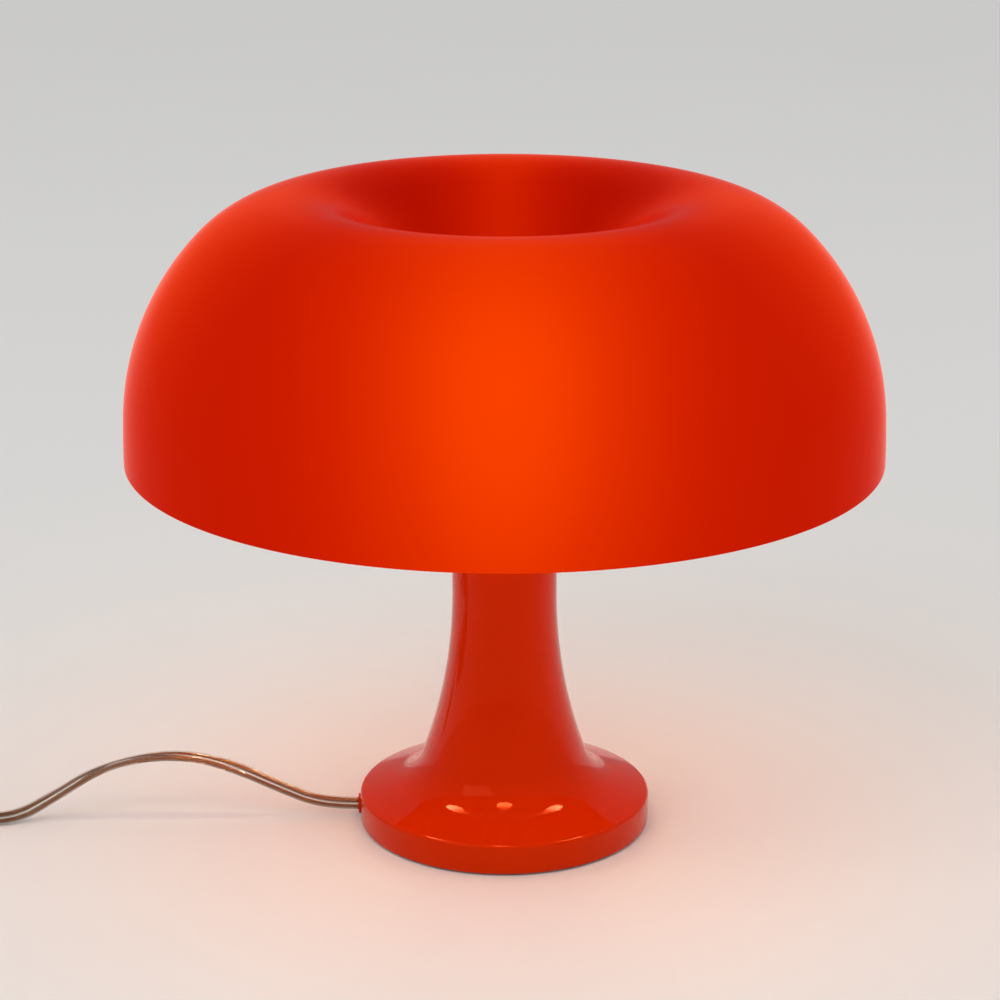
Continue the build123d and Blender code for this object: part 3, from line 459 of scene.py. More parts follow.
@dataclass(frozen=True)
class Opal(Finish):
    """A lit opal bulb, dim at its neck and brightest at its ball."""

    # where the light begins and where it is full, from the lamp's axis
    near: float = 64 * MM
    far: float = 127 * MM
    # the light's strength, and its gains in reflections and in direct view
    strength: float = 13.0
    in_gloss: float = 3.5
    in_view: float = 0.075

    SPAN = (1.0, 1.75)
    GRAIN = 500.0
    CLOUD_SCALE = 60.0
    CLOUDED = 0.9
    # the light by how far a point is from the neck to the end
    LIGHT = [
        (0.0, (0.05, 0.018, 0.004, 1.0)),
        (0.3, (0.3, 0.14, 0.045, 1.0)),
        (0.55, (0.95, 0.70, 0.40, 1.0)),
        (1.0, (1.0, 0.82, 0.55, 1.0)),
    ]

    def dress(self, graph: Graph) -> dict:
        """Gives the light from the distance to the lamp's axis, eased where it is seen directly."""
        place = graph.place()
        parts = graph.apart(place)
        x = graph.math("ABSOLUTE", parts["X"])
        reach = graph.math("MAXIMUM", x, graph.math("ABSOLUTE", parts["Y"]))
        cloud = graph.spread(graph.noise(place, self.CLOUD_SCALE, 3.0), self.CLOUDED, 1.0)
        share = graph.times(graph.share(reach, self.near, self.far), cloud)
        path = graph.node("ShaderNodeLightPath").outputs
        gain = graph.times(path["Is Glossy Ray"], self.in_gloss - 1.0, 1.0)
        gain = graph.times(path["Is Camera Ray"], self.in_view - 1.0, gain)
        made = {0: graph.ramp(share, self.LIGHT), "Scale": gain}
        light = graph.node("ShaderNodeVectorMath", made, operation="SCALE").outputs["Vector"]
        skin = graph.group(EFFECTS.skin, Vector=place, Grain=self.GRAIN)
        return dict(
            Emission_Color=light, Emission_Strength=self.strength,
            Roughness=self.roughened(graph, skin["Mottle"]),
        )


@dataclass(frozen=True)
class Clear(Finish):
    """Clear glass or plastic with faint haze and ripples."""

    SPAN = (0.5, 1.5)
    GRAIN = 350.0
    MOTTLED = 0.94
    RIPPLE = 0.02 * MM
    IOR = 1.5

    def dress(self, graph: Graph) -> dict:
        """Adds transmission, haze and ripples."""
        skin = graph.group(EFFECTS.skin, Vector=graph.place(), Grain=self.GRAIN)
        return dict(
            Base_Color=graph.mix(skin["Mottle"], self.scaled(self.MOTTLED), self.colour),
            Roughness=self.roughened(graph, skin["Mottle"]),
            Normal=graph.bump(skin["Height"], self.RIPPLE), Transmission_Weight=1.0, IOR=self.IOR,
        )


@dataclass(frozen=True)
class Stranded(Finish):
    """Twisted bare copper strands, from the core's own UV map, with painted shade between the strands."""

    # slanted ridges for each metre, and round the core
    turns: float = 260.0
    strands: float = 7.0

    SPAN = (1.0, 1.5)
    TARNISH_SCALE = 90.0
    TARNISHED = 0.6
    # painted shade: the colour's share in the troughs between the strands
    SHADE_BETWEEN_STRANDS = 0.45
    RIDGE = 0.08 * MM

    def dress(self, graph: Graph) -> dict:
        """Gives the normal from a slanted wave round the core, and colour with painted shade in the wave's
        troughs between the strands.
        """
        parts = graph.apart(graph.node("ShaderNodeTexCoord").outputs["UV"])
        round_it = graph.times(parts["Y"], self.strands)
        slant = graph.times(parts["X"], self.turns, round_it)
        wave = graph.math("SINE", graph.times(slant, 2 * math.pi))
        ridge = graph.times(wave, 0.5, 0.5)
        tarnish = graph.noise(graph.place(), self.TARNISH_SCALE, 3.0)
        base = graph.mix(tarnish, self.scaled(self.TARNISHED), self.colour)
        return dict(
            # painted shade: the colour darkens in the troughs between the strands
            Base_Color=graph.mix(ridge, self.scaled(self.SHADE_BETWEEN_STRANDS), base),
            Roughness=self.roughened(graph, tarnish), Normal=graph.bump(ridge, self.RIDGE), Metallic=1.0,
        )


RED_TINT = (1.0, 0.2, 0.08, 1.0)


class Finishes:
    """Every finish of the lamp."""

    shade = LitShade("shade_plastic", (0.12, 0.001, 0.0, 1.0), 0.2, tint=RED_TINT, dust=0.1, specular=0.005)
    foot = Moulded("foot_plastic", (0.54, 0.022, 0.0002, 1.0), 0.04, tint=RED_TINT, dust=0.1, specular=0.3)
    cap = Moulded("cap_plastic", (0.55, 0.014, 0.0005, 1.0), 0.18, tint=RED_TINT, specular=0.3)
    black = Moulded("black_plastic", (0.012, 0.012, 0.013, 1.0), 0.32, grain=1600.0, peel=0.05 * MM)
    white = Moulded("holder_plastic", (0.72, 0.70, 0.64, 1.0), 0.28)
    nylon = Moulded("nylon", (0.70, 0.67, 0.60, 1.0), 0.4)
    opal = Opal("opal_glass", (0.85, 0.8, 0.7, 1.0), 0.2)
    brass = Metal("brass", (0.72, 0.48, 0.16, 1.0), 0.28)
    zinc = Metal("zinc_steel", (0.56, 0.56, 0.57, 1.0), 0.34)
    aluminium = Metal("cap_metal", (0.72, 0.71, 0.69, 1.0), 0.3)
    tungsten = Metal("tungsten", (0.35, 0.34, 0.33, 1.0), 0.4)
    hub = Moulded("cast_hub", (0.74, 0.72, 0.67, 1.0), 0.42, grain=1400.0, peel=0.08 * MM)
    iron = Rough("black_iron", (0.03, 0.03, 0.032, 1.0), 0.7, grain=420.0, depth=0.15 * MM)
    ceramic = Rough("ceramic", (0.74, 0.72, 0.66, 1.0), 0.35, depth=0.02 * MM)
    rubber = Rough("rubber", (0.02, 0.02, 0.02, 1.0), 0.8, grain=1100.0)
    silicone = Rough("silicone", (0.62, 0.6, 0.55, 1.0), 0.55)
    sleeve = Rough("wire_sleeve", (0.58, 0.55, 0.47, 1.0), 0.5, depth=0.03 * MM)
    stem_glass = Clear("stem_glass", (0.95, 0.97, 0.96, 1.0), 0.02)
    jacket = Clear("clear_jacket", (0.96, 0.90, 0.82, 1.0), 0.06)
    copper = Stranded("copper_strands", (0.55, 0.24, 0.11, 1.0), 0.3)


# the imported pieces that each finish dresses
KEPT = {
    Finishes.iron: ("ballast_weight",),
    Finishes.zinc: (
        "bottom_cover", "bottom_cover_screws", "stem_tube", "stem_washers", "stem_nuts",
        "hub_cover_screws", "shade_stud", "holder_nuts", "cord_clamp_bar", "cord_clamp_screws",
        "switch_pivot_pin", "switch_screws",
    ),
    Finishes.rubber: ("floor_ring",),
    Finishes.hub: ("hub_housing", "hub_cover"),
    Finishes.silicone: ("shade_seat_gasket",),
    Finishes.brass: (
        "screw_shells", "centre_contacts", "terminal_screws", "lock_cap_insert",
        "switch_rocker_contact", "switch_contacts", "plug_pins",
    ),
    Finishes.aluminium: ("bulb_tips", *(f"bulb_cap_{side}" for side in SIDES)),
    Finishes.opal: tuple(f"bulb_glass_{side}" for side in SIDES),
    Finishes.white: tuple(f"bulb_holder_{side}" for side in SIDES),
    Finishes.stem_glass: ("bulb_stems",),
    Finishes.tungsten: ("bulb_filaments",),
    Finishes.ceramic: ("terminal_block", "connection_block"),
    Finishes.sleeve: ("supply_wires", "riser_wires", "holder_leads"),
    Finishes.cap: ("lock_cap", "cord_grommet"),
    Finishes.nylon: ("lock_cap_washer",),
    Finishes.black: (
        "switch_lower_shell", "switch_upper_shell", "switch_rocker", "plug_body", "plug_pin_sleeves",
    ),
}


def dress_kept_nodes() -> None:
    """Gives each piece that stays as imported from model.glb its finish."""
    for finish, names in KEPT.items():
        for name in names:
            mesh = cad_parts[name].data
            mesh.materials.clear()
            mesh.materials.append(finish.material())
    log.info("dressed %d kept pieces", sum(len(names) for names in KEPT.values()))


# ---------- making pieces
def linked(name: str, data: bpy.types.ID) -> Piece:
    """Returns a new object of the data, linked to the scene."""
    made = bpy.data.objects.new(name, data)
    bpy.context.scene.collection.objects.link(made)
    return made


def drawn(name: str, points: list, edges: list, faces: list) -> Piece:
    """Returns a new object with a mesh of the given points, edges and faces."""
    mesh = bpy.data.meshes.new(name)
    mesh.from_pydata(points, edges, faces)
    return linked(name, mesh)


class Repeater:
    """A Geometry Nodes tree with named inputs. Subclasses say which, and fill the tree."""

    NAME = ""
    INPUTS: dict[str, str] = {}

    def __init__(self) -> None:
        """Builds the tree."""
        out = {"Geometry": "Geometry"}
        self.tree = node_group(self.NAME, "GeometryNodeTree", self.INPUTS, out, self.fill)

    def fill(self, graph: Graph, given: Outputs) -> dict:
        """Adds the tree's nodes and returns its outputs by name."""
        raise NotImplementedError

    @staticmethod
    def point(graph: Graph, geometry: Socket, index: object) -> Socket:
        """Returns the place of one of a geometry's points."""
        here = graph.node("GeometryNodeInputPosition").outputs[0]
        made = {"Geometry": geometry, "Value": here, "Index": index}
        return graph.node("GeometryNodeSampleIndex", made, data_type="FLOAT_VECTOR").outputs["Value"]

    @staticmethod
    def finished(graph: Graph, geometry: Socket, finish: Socket) -> dict:
        """Makes instances real, shades them smooth and sets their material."""
        real = graph.node("GeometryNodeRealizeInstances", {"Geometry": geometry}).outputs[0]
        smooth = graph.node("GeometryNodeSetShadeSmooth", {"Geometry": real}).outputs[0]
        done = graph.node("GeometryNodeSetMaterial", {"Geometry": smooth, "Material": finish})
        return {"Geometry": done.outputs[0]}

    def run(self, piece: Piece, inputs: dict) -> Piece:
        """Runs the tree on a piece and keeps the result as its plain mesh.

        Args:
            piece: The piece, which holds what the tree starts from.
            inputs: What the tree's inputs get, by name.

        Returns:
            The piece.
        """
        modifier = piece.modifiers.new(self.tree.name, "NODES")
        modifier.node_group = self.tree
        items = self.tree.interface.items_tree
        sockets = {item.name: item.identifier for item in items if item.in_out == "INPUT"}
        for key, value in inputs.items():
            modifier[sockets[key]] = value
        bpy.context.view_layer.update()
        evaluated = piece.evaluated_get(bpy.context.evaluated_depsgraph_get())
        made = bpy.data.meshes.new_from_object(evaluated)
        piece.modifiers.clear()
        old = piece.data
        piece.data = made
        bpy.data.meshes.remove(old)
        made.name = piece.name
        turn_outwards(made)
        return piece


def turn_outwards(mesh: bpy.types.Mesh) -> None:
    """Points all faces of a closed mesh outwards."""
    work = bmesh.new()
    work.from_mesh(mesh)
    bmesh.ops.recalc_face_normals(work, faces=work.faces)
    work.to_mesh(mesh)
    work.free()


# ---------- turned pieces
class Pen:
    """Draws a (radius, height) outline from arcs and lines, in metres."""

    def __init__(self, start: tuple[float, float], heading: float) -> None:
        """Starts at a point.

        Args:
            start: The first point.
            heading: Degrees from the outward direction, anticlockwise.
        """
        self.points = [start]
        self.heading = math.radians(heading)

    def arc(self, radius: float, turn: float, step: float = 1.2) -> None:
        """Adds an arc.

        Args:
            radius: Its radius.
            turn: Degrees, to the left if positive.
            step: Degrees between its points.
        """
        x, y = self.points[-1]
        way = 1 if turn > 0 else -1
        centre = (x - way * radius * math.sin(self.heading), y + way * radius * math.cos(self.heading))
        count = max(2, round(abs(turn) / step))
        for k in range(1, count + 1):
            angle = self.heading + math.radians(turn) * k / count
            self.points.append(
                (centre[0] + way * radius * math.sin(angle), centre[1] - way * radius * math.cos(angle))
            )
        self.heading += math.radians(turn)

    def line(self, length: float) -> None:
        """Adds a straight stretch."""
        x, y = self.points[-1]
        self.points.append((x + length * math.cos(self.heading), y + length * math.sin(self.heading)))


CORNER_STEPS = 6


def quarter(centre: tuple[float, float], radius: float, start: float, turn: float = 90.0) -> list:
    """Returns points along a small corner arc.

    Args:
        centre: The arc's middle.
        radius: Its radius.
        start: Degrees where it starts.
        turn: Degrees that it sweeps.
    """
    angles = [math.radians(start + turn * k / CORNER_STEPS) for k in range(CORNER_STEPS + 1)]
    return [(centre[0] + radius * math.cos(a), centre[1] + radius * math.sin(a)) for a in angles]


class Lathe(Repeater):
    """Turns a closed outline about the Z axis."""

    NAME = "turned_outline"
    INPUTS = {"Outline": "Geometry", "Steps": "Int", "Finish": "Material"}
    MERGED = 0.001 * MM

    def fill(self, graph: Graph, given: Outputs) -> dict:
        """Lays a grid with a column for each point of the outline and bends it round the axis."""
        size = graph.node("GeometryNodeAttributeDomainSize", {"Geometry": given["Outline"]}).outputs
        rows = graph.math("ADD", given["Steps"], 1.0)
        cells = {"Vertices X": size["Point Count"], "Vertices Y": rows}
        grid = graph.node("GeometryNodeMeshGrid", cells).outputs["Mesh"]
        index = graph.node("GeometryNodeInputIndex").outputs[0]
        column = graph.math("FLOOR", graph.math("DIVIDE", graph.math("ADD", index, 0.5), rows))
        row = graph.math("SUBTRACT", index, graph.times(column, rows))
        angle = graph.times(graph.math("DIVIDE", row, given["Steps"]), 2 * math.pi)
        point = graph.apart(self.point(graph, given["Outline"], column))
        turned = graph.vector(
            X=graph.times(point["X"], graph.math("COSINE", angle)),
            Y=graph.times(point["X"], graph.math("SINE", angle)),
            Z=point["Z"],
        )
        moved = graph.node("GeometryNodeSetPosition", {"Geometry": grid, "Position": turned})
        made = {"Geometry": moved.outputs[0], "Distance": self.MERGED}
        closed = graph.node("GeometryNodeMergeByDistance", made).outputs[0]
        return self.finished(graph, closed, given["Finish"])

    def turn(self, name: str, outline: list, finish: Finish, steps: int) -> Piece:
        """Makes a turned piece.

        Args:
            name: The piece's name.
            outline: A closed (radius, height) outline, its last point joined to its first.
            finish: Its finish.
            steps: How many times it is stepped round.

        Returns:
            The piece.
        """
        points = [(r, 0.0, z) for r, z in [*outline, outline[0]]]
        piece = drawn(name, points, [(k, k + 1) for k in range(len(points) - 1)], [])
        return self.run(piece, {"Steps": steps, "Finish": finish.material()})


@dataclass
class Shade:
    """The ring-shaped dome whose middle dips to a floor on the hub."""

    radius: float = 160 * MM
    wall: float = 3 * MM
    # each bend's radius, and the degrees that it turns
    side: tuple[float, float] = (450 * MM, 2.6)
    shoulder: tuple[float, float] = (110.1 * MM, 41.8)
    brow_radius: float = 59.2 * MM
    lip: tuple[float, float] = (46 * MM, 80.0)
    dimple_depth: float = 54.7 * MM
    dimple_bend: float = 12 * MM
    hole_radius: float = 6 * MM
    rim_fillet: float = 1 * MM
    steps: int = 224
    lowest: float = field(init=False)
    floor: float = field(init=False)

    def __post_init__(self) -> None:
        """Reads the rim's and the floor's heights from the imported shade."""
        low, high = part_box("shade_shell")
        self.lowest = low.z
        self.floor = high.z - self.dimple_depth

    def skin(self, depth: float) -> list:
        """Returns the outline from above the rim's fillet to the hole, moved inwards by depth."""
        pen = Pen((self.radius - depth, self.lowest), 90.0)
        pen.arc(self.side[0] - depth, self.side[1], 0.3)
        pen.arc(self.shoulder[0] - depth, self.shoulder[1])
        pen.arc(self.brow_radius - depth, 90 - self.side[1] - self.shoulder[1])
        pen.arc(self.lip[0] - depth, self.lip[1])
        bend = self.dimple_bend + depth
        angle = math.radians(self.lip[1])
        drop = pen.points[-1][1] - (self.floor - depth) - bend * (1 - math.cos(angle))
        pen.line(drop / math.sin(angle))
        pen.arc(bend, -self.lip[1], 4.0)
        points = [*pen.points, (self.hole_radius, self.floor - depth)]
        return [point for point in points if point[1] > self.lowest + self.rim_fillet]

    def outline(self) -> list:
        """Returns the closed outline with its rounded rim."""
        outer = self.skin(0.0)
        inner = self.skin(self.wall)
        fillet = self.rim_fillet
        low = self.lowest + fillet
        rim = quarter((self.radius - self.wall + fillet, low), fillet, 180.0)
        rim += quarter((self.radius - fillet, low), fillet, 270.0)
        return outer + inner[::-1] + rim

    def build(self, lathe: Lathe) -> Piece:
        """Makes the shade and puts it on its body."""
        piece = lathe.turn("shade_dome", self.outline(), Finishes.shade, self.steps)
        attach(piece, Body.SHADE.value)
        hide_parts("shade_shell")
        return piece


@dataclass
class Foot:
    """The column that flares to a sloping disc."""

    radius: float = 63.2 * MM
    edge_height: float = 13.4 * MM
    lift: float = 0.8 * MM
    wall: float = 3 * MM
    slope: float = 18.0
    bell_radius: float = 22 * MM
    # the flare's radius, and the degrees that it turns
    flare: tuple[float, float] = (215 * MM, 20.0)
    column_radius: float = 22.5 * MM
    hole_radius: float = 5.2 * MM
    edge_fillet: float = 1.8 * MM
    hem_fillet: float = 0.6 * MM
    top_fillet: float = 1 * MM
    steps: int = 192
    top: float = field(init=False)

    def __post_init__(self) -> None:
        """Reads the column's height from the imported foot."""
        self.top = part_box("foot_moulding")[1].z

    def flare_top(self) -> float:
        """Returns the height where the straight column ends."""
        slope = math.radians(self.slope)
        turn = math.radians(self.flare[1])
        steep = math.pi / 2 - turn
        foot = self.column_radius + self.flare[0] * (1 - math.cos(turn))
        foot += self.bell_radius * (math.sin(steep) - math.sin(slope))
        rise = (self.radius - foot) * math.tan(slope)
        rise += self.bell_radius * (math.cos(slope) - math.cos(steep))
        return self.edge_height + rise + self.flare[0] * math.sin(turn)

    def skin(self, depth: float) -> list:
        """Returns the outline from the flare's top down to the disc's slope, made smaller by depth."""
        pen = Pen((self.column_radius - depth, self.flare_top()), 270.0)
        pen.arc(self.flare[0] + depth, self.flare[1], 0.8)
        pen.arc(self.bell_radius + depth, 90 - self.flare[1] - self.slope, 3.0)
        return pen.points

    def outline(self) -> list:
        """Returns the closed outline, outside down and inside up."""
        slope = math.radians(self.slope)
        outer = self.skin(0.0)
        inner = self.skin(self.wall)
        fillet = self.edge_fillet
        # the middle of the arc between the disc's slope and its upright side
        middle = (self.radius - fillet,
                  self.edge_height + fillet * math.tan(slope) - fillet / math.cos(slope))
        edge = quarter(middle, fillet, 90 - self.slope, self.slope - 90)
        hem_middle = (self.radius - self.hem_fillet, self.lift + self.hem_fillet)
        hem = quarter(hem_middle, self.hem_fillet, 0.0, -90.0)
        inner_side = self.radius - self.wall
        inner_edge = inner[-1][1] - (inner_side - inner[-1][0]) * math.tan(slope)
        round_top = quarter((self.column_radius - self.top_fillet, self.top - self.top_fillet),
                            self.top_fillet, 90.0, -90.0)
        return [
            *round_top, *outer, *edge, *hem, (inner_side, self.lift), (inner_side, inner_edge),
            *inner[::-1], (self.column_radius - self.wall, self.top - self.wall),
            (self.hole_radius, self.top - self.wall), (self.hole_radius, self.top),
        ]

    def build(self, lathe: Lathe) -> Piece:
        """Makes the foot and puts it on its body."""
        piece = lathe.turn("foot_form", self.outline(), Finishes.foot, self.steps)
        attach(piece, Body.BASE.value)
        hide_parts("foot_moulding")
        return piece


# ---------- plug
class RibRow(Repeater):
    """Sets rings along a tapered sleeve that points to +X."""

    NAME = "rib_row"
    INPUTS = {
        "Start": "Geometry", "Ribs": "Int", "Spacing": "Float", "Root Radius": "Float",
        "Tip Radius": "Float", "Rib Size": "Float", "Finish": "Material",
    }
    RING_SIDES = 48
    SECTION_SIDES = 12

    def fill(self, graph: Graph, given: Outputs) -> dict:
        """Places a ring on each point of a line, smaller towards the tip."""
        made = {
            "Count": given["Ribs"], "Start Location": self.point(graph, given["Start"], 0),
            "Offset": graph.vector(X=given["Spacing"]),
        }
        line = graph.node("GeometryNodeMeshLine", made, mode="OFFSET").outputs["Mesh"]
        index = graph.node("GeometryNodeInputIndex").outputs[0]
        share = graph.math("DIVIDE", index, graph.math("SUBTRACT", given["Ribs"], 1.0))
        taper = graph.math("SUBTRACT", given["Tip Radius"], given["Root Radius"])
        radius = graph.times(taper, share, given["Root Radius"])
        size = graph.math("DIVIDE", given["Rib Size"], given["Root Radius"])
        circle = "GeometryNodeCurvePrimitiveCircle"
        ring = graph.node(circle, {"Resolution": self.RING_SIDES, "Radius": 1.0})
        section = graph.node(circle, {"Resolution": self.SECTION_SIDES, "Radius": size})
        made = {"Curve": ring.outputs["Curve"], "Profile Curve": section.outputs["Curve"]}
        rib = graph.node("GeometryNodeCurveToMesh", made)
        ribs = graph.node("GeometryNodeInstanceOnPoints", {
            "Points": line, "Instance": rib.outputs["Mesh"],
            "Rotation": (0.0, math.pi / 2, 0.0), "Scale": graph.vector(X=radius, Y=radius, Z=radius),
        })
        return self.finished(graph, ribs.outputs["Instances"], given["Finish"])


@dataclass
class PlugRelief:
    """The rings round the plug's bend relief."""

    ribs: int = 7
    spacing: float = 2.7 * MM
    inset: float = 2.6 * MM
    root_radius: float = 4.5 * MM
    tip_radius: float = 3.4 * MM
    rib_size: float = 0.65 * MM

    def build(self) -> Piece:
        """Makes the rings in one piece and puts them on the plug."""
        low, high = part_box("plug_body")
        reach = self.spacing * (self.ribs - 1)
        start = (high.x - self.inset - reach, (low.y + high.y) / 2, (low.z + high.z) / 2)
        piece = drawn("plug_relief_ribs", [start], [], [])
        RibRow().run(piece, {
            "Ribs": self.ribs, "Spacing": self.spacing, "Root Radius": self.root_radius,
            "Tip Radius": self.tip_radius, "Rib Size": self.rib_size,
            "Finish": Finishes.black.material(),
        })
        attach(piece, Body.BASE.value)
        return piece


# ---------- cord, its points in millimetres
CORD_LOW = 2.9
SWITCH_Y = -13
CORD_IN_SWITCH = 8.2
LEAD = [
    (-64, 0, 5.8), (-80, 0, 5.8), (-98, 0, 13.4), (-118, 0, 23), (-137, 0, 28.4),
    (-157, 0, 28), (-178, -1, 22.6), (-198, -4, 10.4), (-213, -8, CORD_LOW),
    (-229, -11.5, CORD_LOW), (-244, SWITCH_Y, CORD_IN_SWITCH), (-260, SWITCH_Y, CORD_IN_SWITCH),
]
RUN = [
    (-310, SWITCH_Y, CORD_IN_SWITCH), (-325, SWITCH_Y, CORD_IN_SWITCH), (-341, SWITCH_Y, CORD_LOW),
    (-355, SWITCH_Y, CORD_LOW),
]
# from the coil's end
TAIL_STEPS = [
    (17, 0, 0), (32.5, 8.8, -3), (41.4, 24.2, -6.1), (41.6, 42, -6.1),
    (32.7, 57.4, -4.5), (17.2, 66.2, -2.2), (1.2, 66.2, -2.2),
]
INNER = [(-64, 0, 5.8), (-57.6, 0, 5.8), (-46.5, 0, 9), (-30, 0, 9)]


@dataclass
class FlatFlex:
    """Clear flat twin flex: a two-lobed jacket over two stranded copper cores."""

    width: float = 5.6 * MM
    thickness: float = 3.0 * MM
    web: float = 1.7 * MM
    core: float = 1.3 * MM
    length: float = 1.8
    # the coil's radius and the step between its turns, in millimetres
    coil_radius: float = 41.88
    coil_pitch: float = 6.1
    half_turns: int = 13
    points_per_half: int = 8
    ring_step: float = 1.6 * MM
    lobe_points: int = 11
    core_points: int = 10
    # degrees from upright, by distance along the cord in metres
    twist: tuple[tuple[float, float], ...] = (
        (0.0, 0.0), (0.045, 6.0), (0.075, 70.0), (0.11, 92.0), (0.135, 60.0), (0.16, 24.0),
        (0.185, 30.0), (0.21, 8.0), (0.24, 0.0),
    )

    def coil(self) -> list:
        """Returns the coil's points in millimetres, in half turns that step in and out again."""
        x = RUN[-1][0] - self.width / MM
        y, z = RUN[-1][1], RUN[-1][2]
        step = math.pi / self.points_per_half
        points = []
        for k in range(self.half_turns):
            radius = self.coil_radius - self.coil_pitch / 2 * min(k, self.half_turns - 1 - k)
            way = 1 if k % 2 == 0 else -1
            rise = self.coil_pitch if k == self.half_turns // 2 else 0.0
            outer = radius / math.cos(step / 2)
            for j in range(self.points_per_half):
                angle = step * (j + 0.5)
                share = (j + 0.5) / self.points_per_half
                points.append((
                    x - way * outer * math.sin(angle),
                    y + way * (radius - outer * math.cos(angle)),
                    z + rise * share,
                ))
            y += 2 * way * radius
            z += rise
        return [*points, (x + self.width / MM, y, z)]

    def route(self) -> list:
        """Returns the whole cord's points in metres, from the foot to the plug."""
        coil = self.coil()
        tail = [tuple(a + b for a, b in zip(coil[-1], step)) for step in TAIL_STEPS]
        return [tuple(v * MM for v in point) for point in [*LEAD, *RUN, *coil, *tail]]

    @staticmethod
    def centreline(points: list) -> list[Vector]:
        """Returns points along a smooth line that the given points steer."""
        curve = bpy.data.curves.new("route", "CURVE")
        curve.dimensions = "3D"
        spline = curve.splines.new("NURBS")
        spline.points.add(len(points) - 1)
        for target, point in zip(spline.points, points):
            target.co = (*point, 1.0)
        spline.order_u = 3
        spline.use_endpoint_u = True
        curve.resolution_u = 12
        holder = bpy.data.objects.new("route", curve)
        line = bpy.data.meshes.new_from_object(holder)
        found = [vertex.co.copy() for vertex in line.vertices]
        bpy.data.objects.remove(holder)
        bpy.data.curves.remove(curve)
        bpy.data.meshes.remove(line)
        return found

    def stations(self, points: list[Vector]) -> tuple[list[Vector], list[float]]:
        """Returns evenly spaced points along a line and their distances from its start."""
        distances = [0.0]
        for a, b in zip(points, points[1:]):
            distances.append(distances[-1] + (b - a).length)
        count = max(4, round(distances[-1] / self.ring_step))
        places, along, k = [], [], 0
        for j in range(count + 1):
            wanted = distances[-1] * j / count
            while k < len(points) - 2 and distances[k + 1] < wanted:
                k += 1
            span = distances[k + 1] - distances[k]
            share = 0.0 if span == 0 else (wanted - distances[k]) / span
            places.append(points[k].lerp(points[k + 1], min(1.0, share)))
            along.append(wanted)
        return places, along

    def turned_by(self, distance: float) -> float:
        """Returns the jacket's twist from upright, in radians, at a distance along the cord."""
        for (a, low), (b, high) in zip(self.twist, self.twist[1:]):
            if distance <= b:
                share = (distance - a) / (b - a)
                eased = share * share * (3 - 2 * share)
                return math.radians(low + (high - low) * eased)
        return math.radians(self.twist[-1][1])

    def jacket_ring(self) -> list[tuple[float, float]]:
        """Returns the jacket's section: (along its width, across it)."""
        lobe = self.thickness / 2
        middle = self.width / 2 - lobe
        waist = math.acos(-math.sqrt(1 - (self.web / 2 / lobe) ** 2))
        ring = []
        for side in (1, -1):
            for j in range(self.lobe_points):
                angle = waist * (2 * j / (self.lobe_points - 1) - 1)
                ring.append((side * (middle + lobe * math.cos(angle)), side * lobe * math.sin(angle)))
        return ring

    def core_ring(self, side: int) -> list[tuple[float, float]]:
        """Returns one core's section, on one side of the jacket's middle."""
        middle = side * (self.width - self.thickness) / 2
        angles = [2 * math.pi * j / self.core_points for j in range(self.core_points)]
        return [(middle + self.core / 2 * math.cos(a), self.core / 2 * math.sin(a)) for a in angles]

    def sweep(self, name: str, line: list[Vector], ring: list, finish: Finish) -> Piece:
        """Carries a section along a line, turned by the cord's twist.

        Args:
            name: The piece's name.
            line: Points along the line.
            ring: The closed section.
            finish: Its finish.

        Returns:
            The piece, with a UV map that runs along and round it.
        """
        places, along = self.stations(line)
        work = bmesh.new()
        uv = work.loops.layers.uv.new("along")
        rings = []
        for k, (place, distance) in enumerate(zip(places, along)):
            ahead = places[min(k + 1, len(places) - 1)] - places[max(k - 1, 0)]
            tangent = ahead.normalized()
            upright = (Vector((0, 0, 1)) - tangent * tangent.z).normalized()
            aside = tangent.cross(upright)
            twist = self.turned_by(distance)
            wide = upright * math.cos(twist) + aside * math.sin(twist)
            thin = tangent.cross(wide)
            rings.append([work.verts.new(place + wide * u + thin * v) for u, v in ring])
        for k, (here, there) in enumerate(zip(rings, rings[1:])):
            for j in range(len(ring)):
                after = (j + 1) % len(ring)
                face = work.faces.new((here[j], here[after], there[after], there[j]))
                face.smooth = True
                corners = ((k, j), (k, j + 1), (k + 1, j + 1), (k + 1, j))
                for loop, (station, way) in zip(face.loops, corners):
                    loop[uv].uv = (along[station], way / len(ring))
        work.faces.new(rings[0][::-1])
        work.faces.new(rings[-1])
        bmesh.ops.recalc_face_normals(work, faces=work.faces)
        mesh = bpy.data.meshes.new(name)
        work.to_mesh(mesh)
        work.free()
        mesh.materials.append(finish.material())
        piece = linked(name, mesh)
        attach(piece, Body.BASE.value)
        return piece

    def lay(self, name: str, points: list) -> tuple[list[Piece], list[Vector]]:
        """Makes a jacket and its two cores along steering points in metres."""
        line = self.centreline(points)
        pieces = [self.sweep(f"{name}_jacket", line, self.jacket_ring(), Finishes.jacket)]
        for side, label in ((1, "upper"), (-1, "lower")):
            pieces.append(self.sweep(f"{name}_{label}_core", line, self.core_ring(side), Finishes.copper))
        return pieces, line

    def build(self, *on_plug: Piece) -> None:
        """Args:
            *on_plug: Pieces that the cord's end would carry; not used.
        """
        (jacket, *cores), line = self.lay("flex", self.route())
        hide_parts("cord_lead", "cord_run", "cord_coil", "cord_tail")
        (inner, *_), _ = self.lay("inner_flex", [tuple(v * MM for v in point) for point in INNER])
        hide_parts("cord_inner")


# ---------- studio
@dataclass
class Camera:
    """The photograph's viewpoint."""

    place: Point = (-0.0019, -1.1519, 0.5097)
    tilt: float = 17.53
    lens: float = 102.13
    sensor: float = 36.0

    def build(self) -> None:
        """Makes the camera."""
        data = bpy.data.cameras.new("photo_view")
        data.lens = self.lens
        data.sensor_width = self.sensor
        camera = linked("photo_view", data)
        camera.location = self.place
        camera.rotation_euler = (math.radians(90 - self.tilt), 0.0, 0.0)
        bpy.context.scene.camera = camera


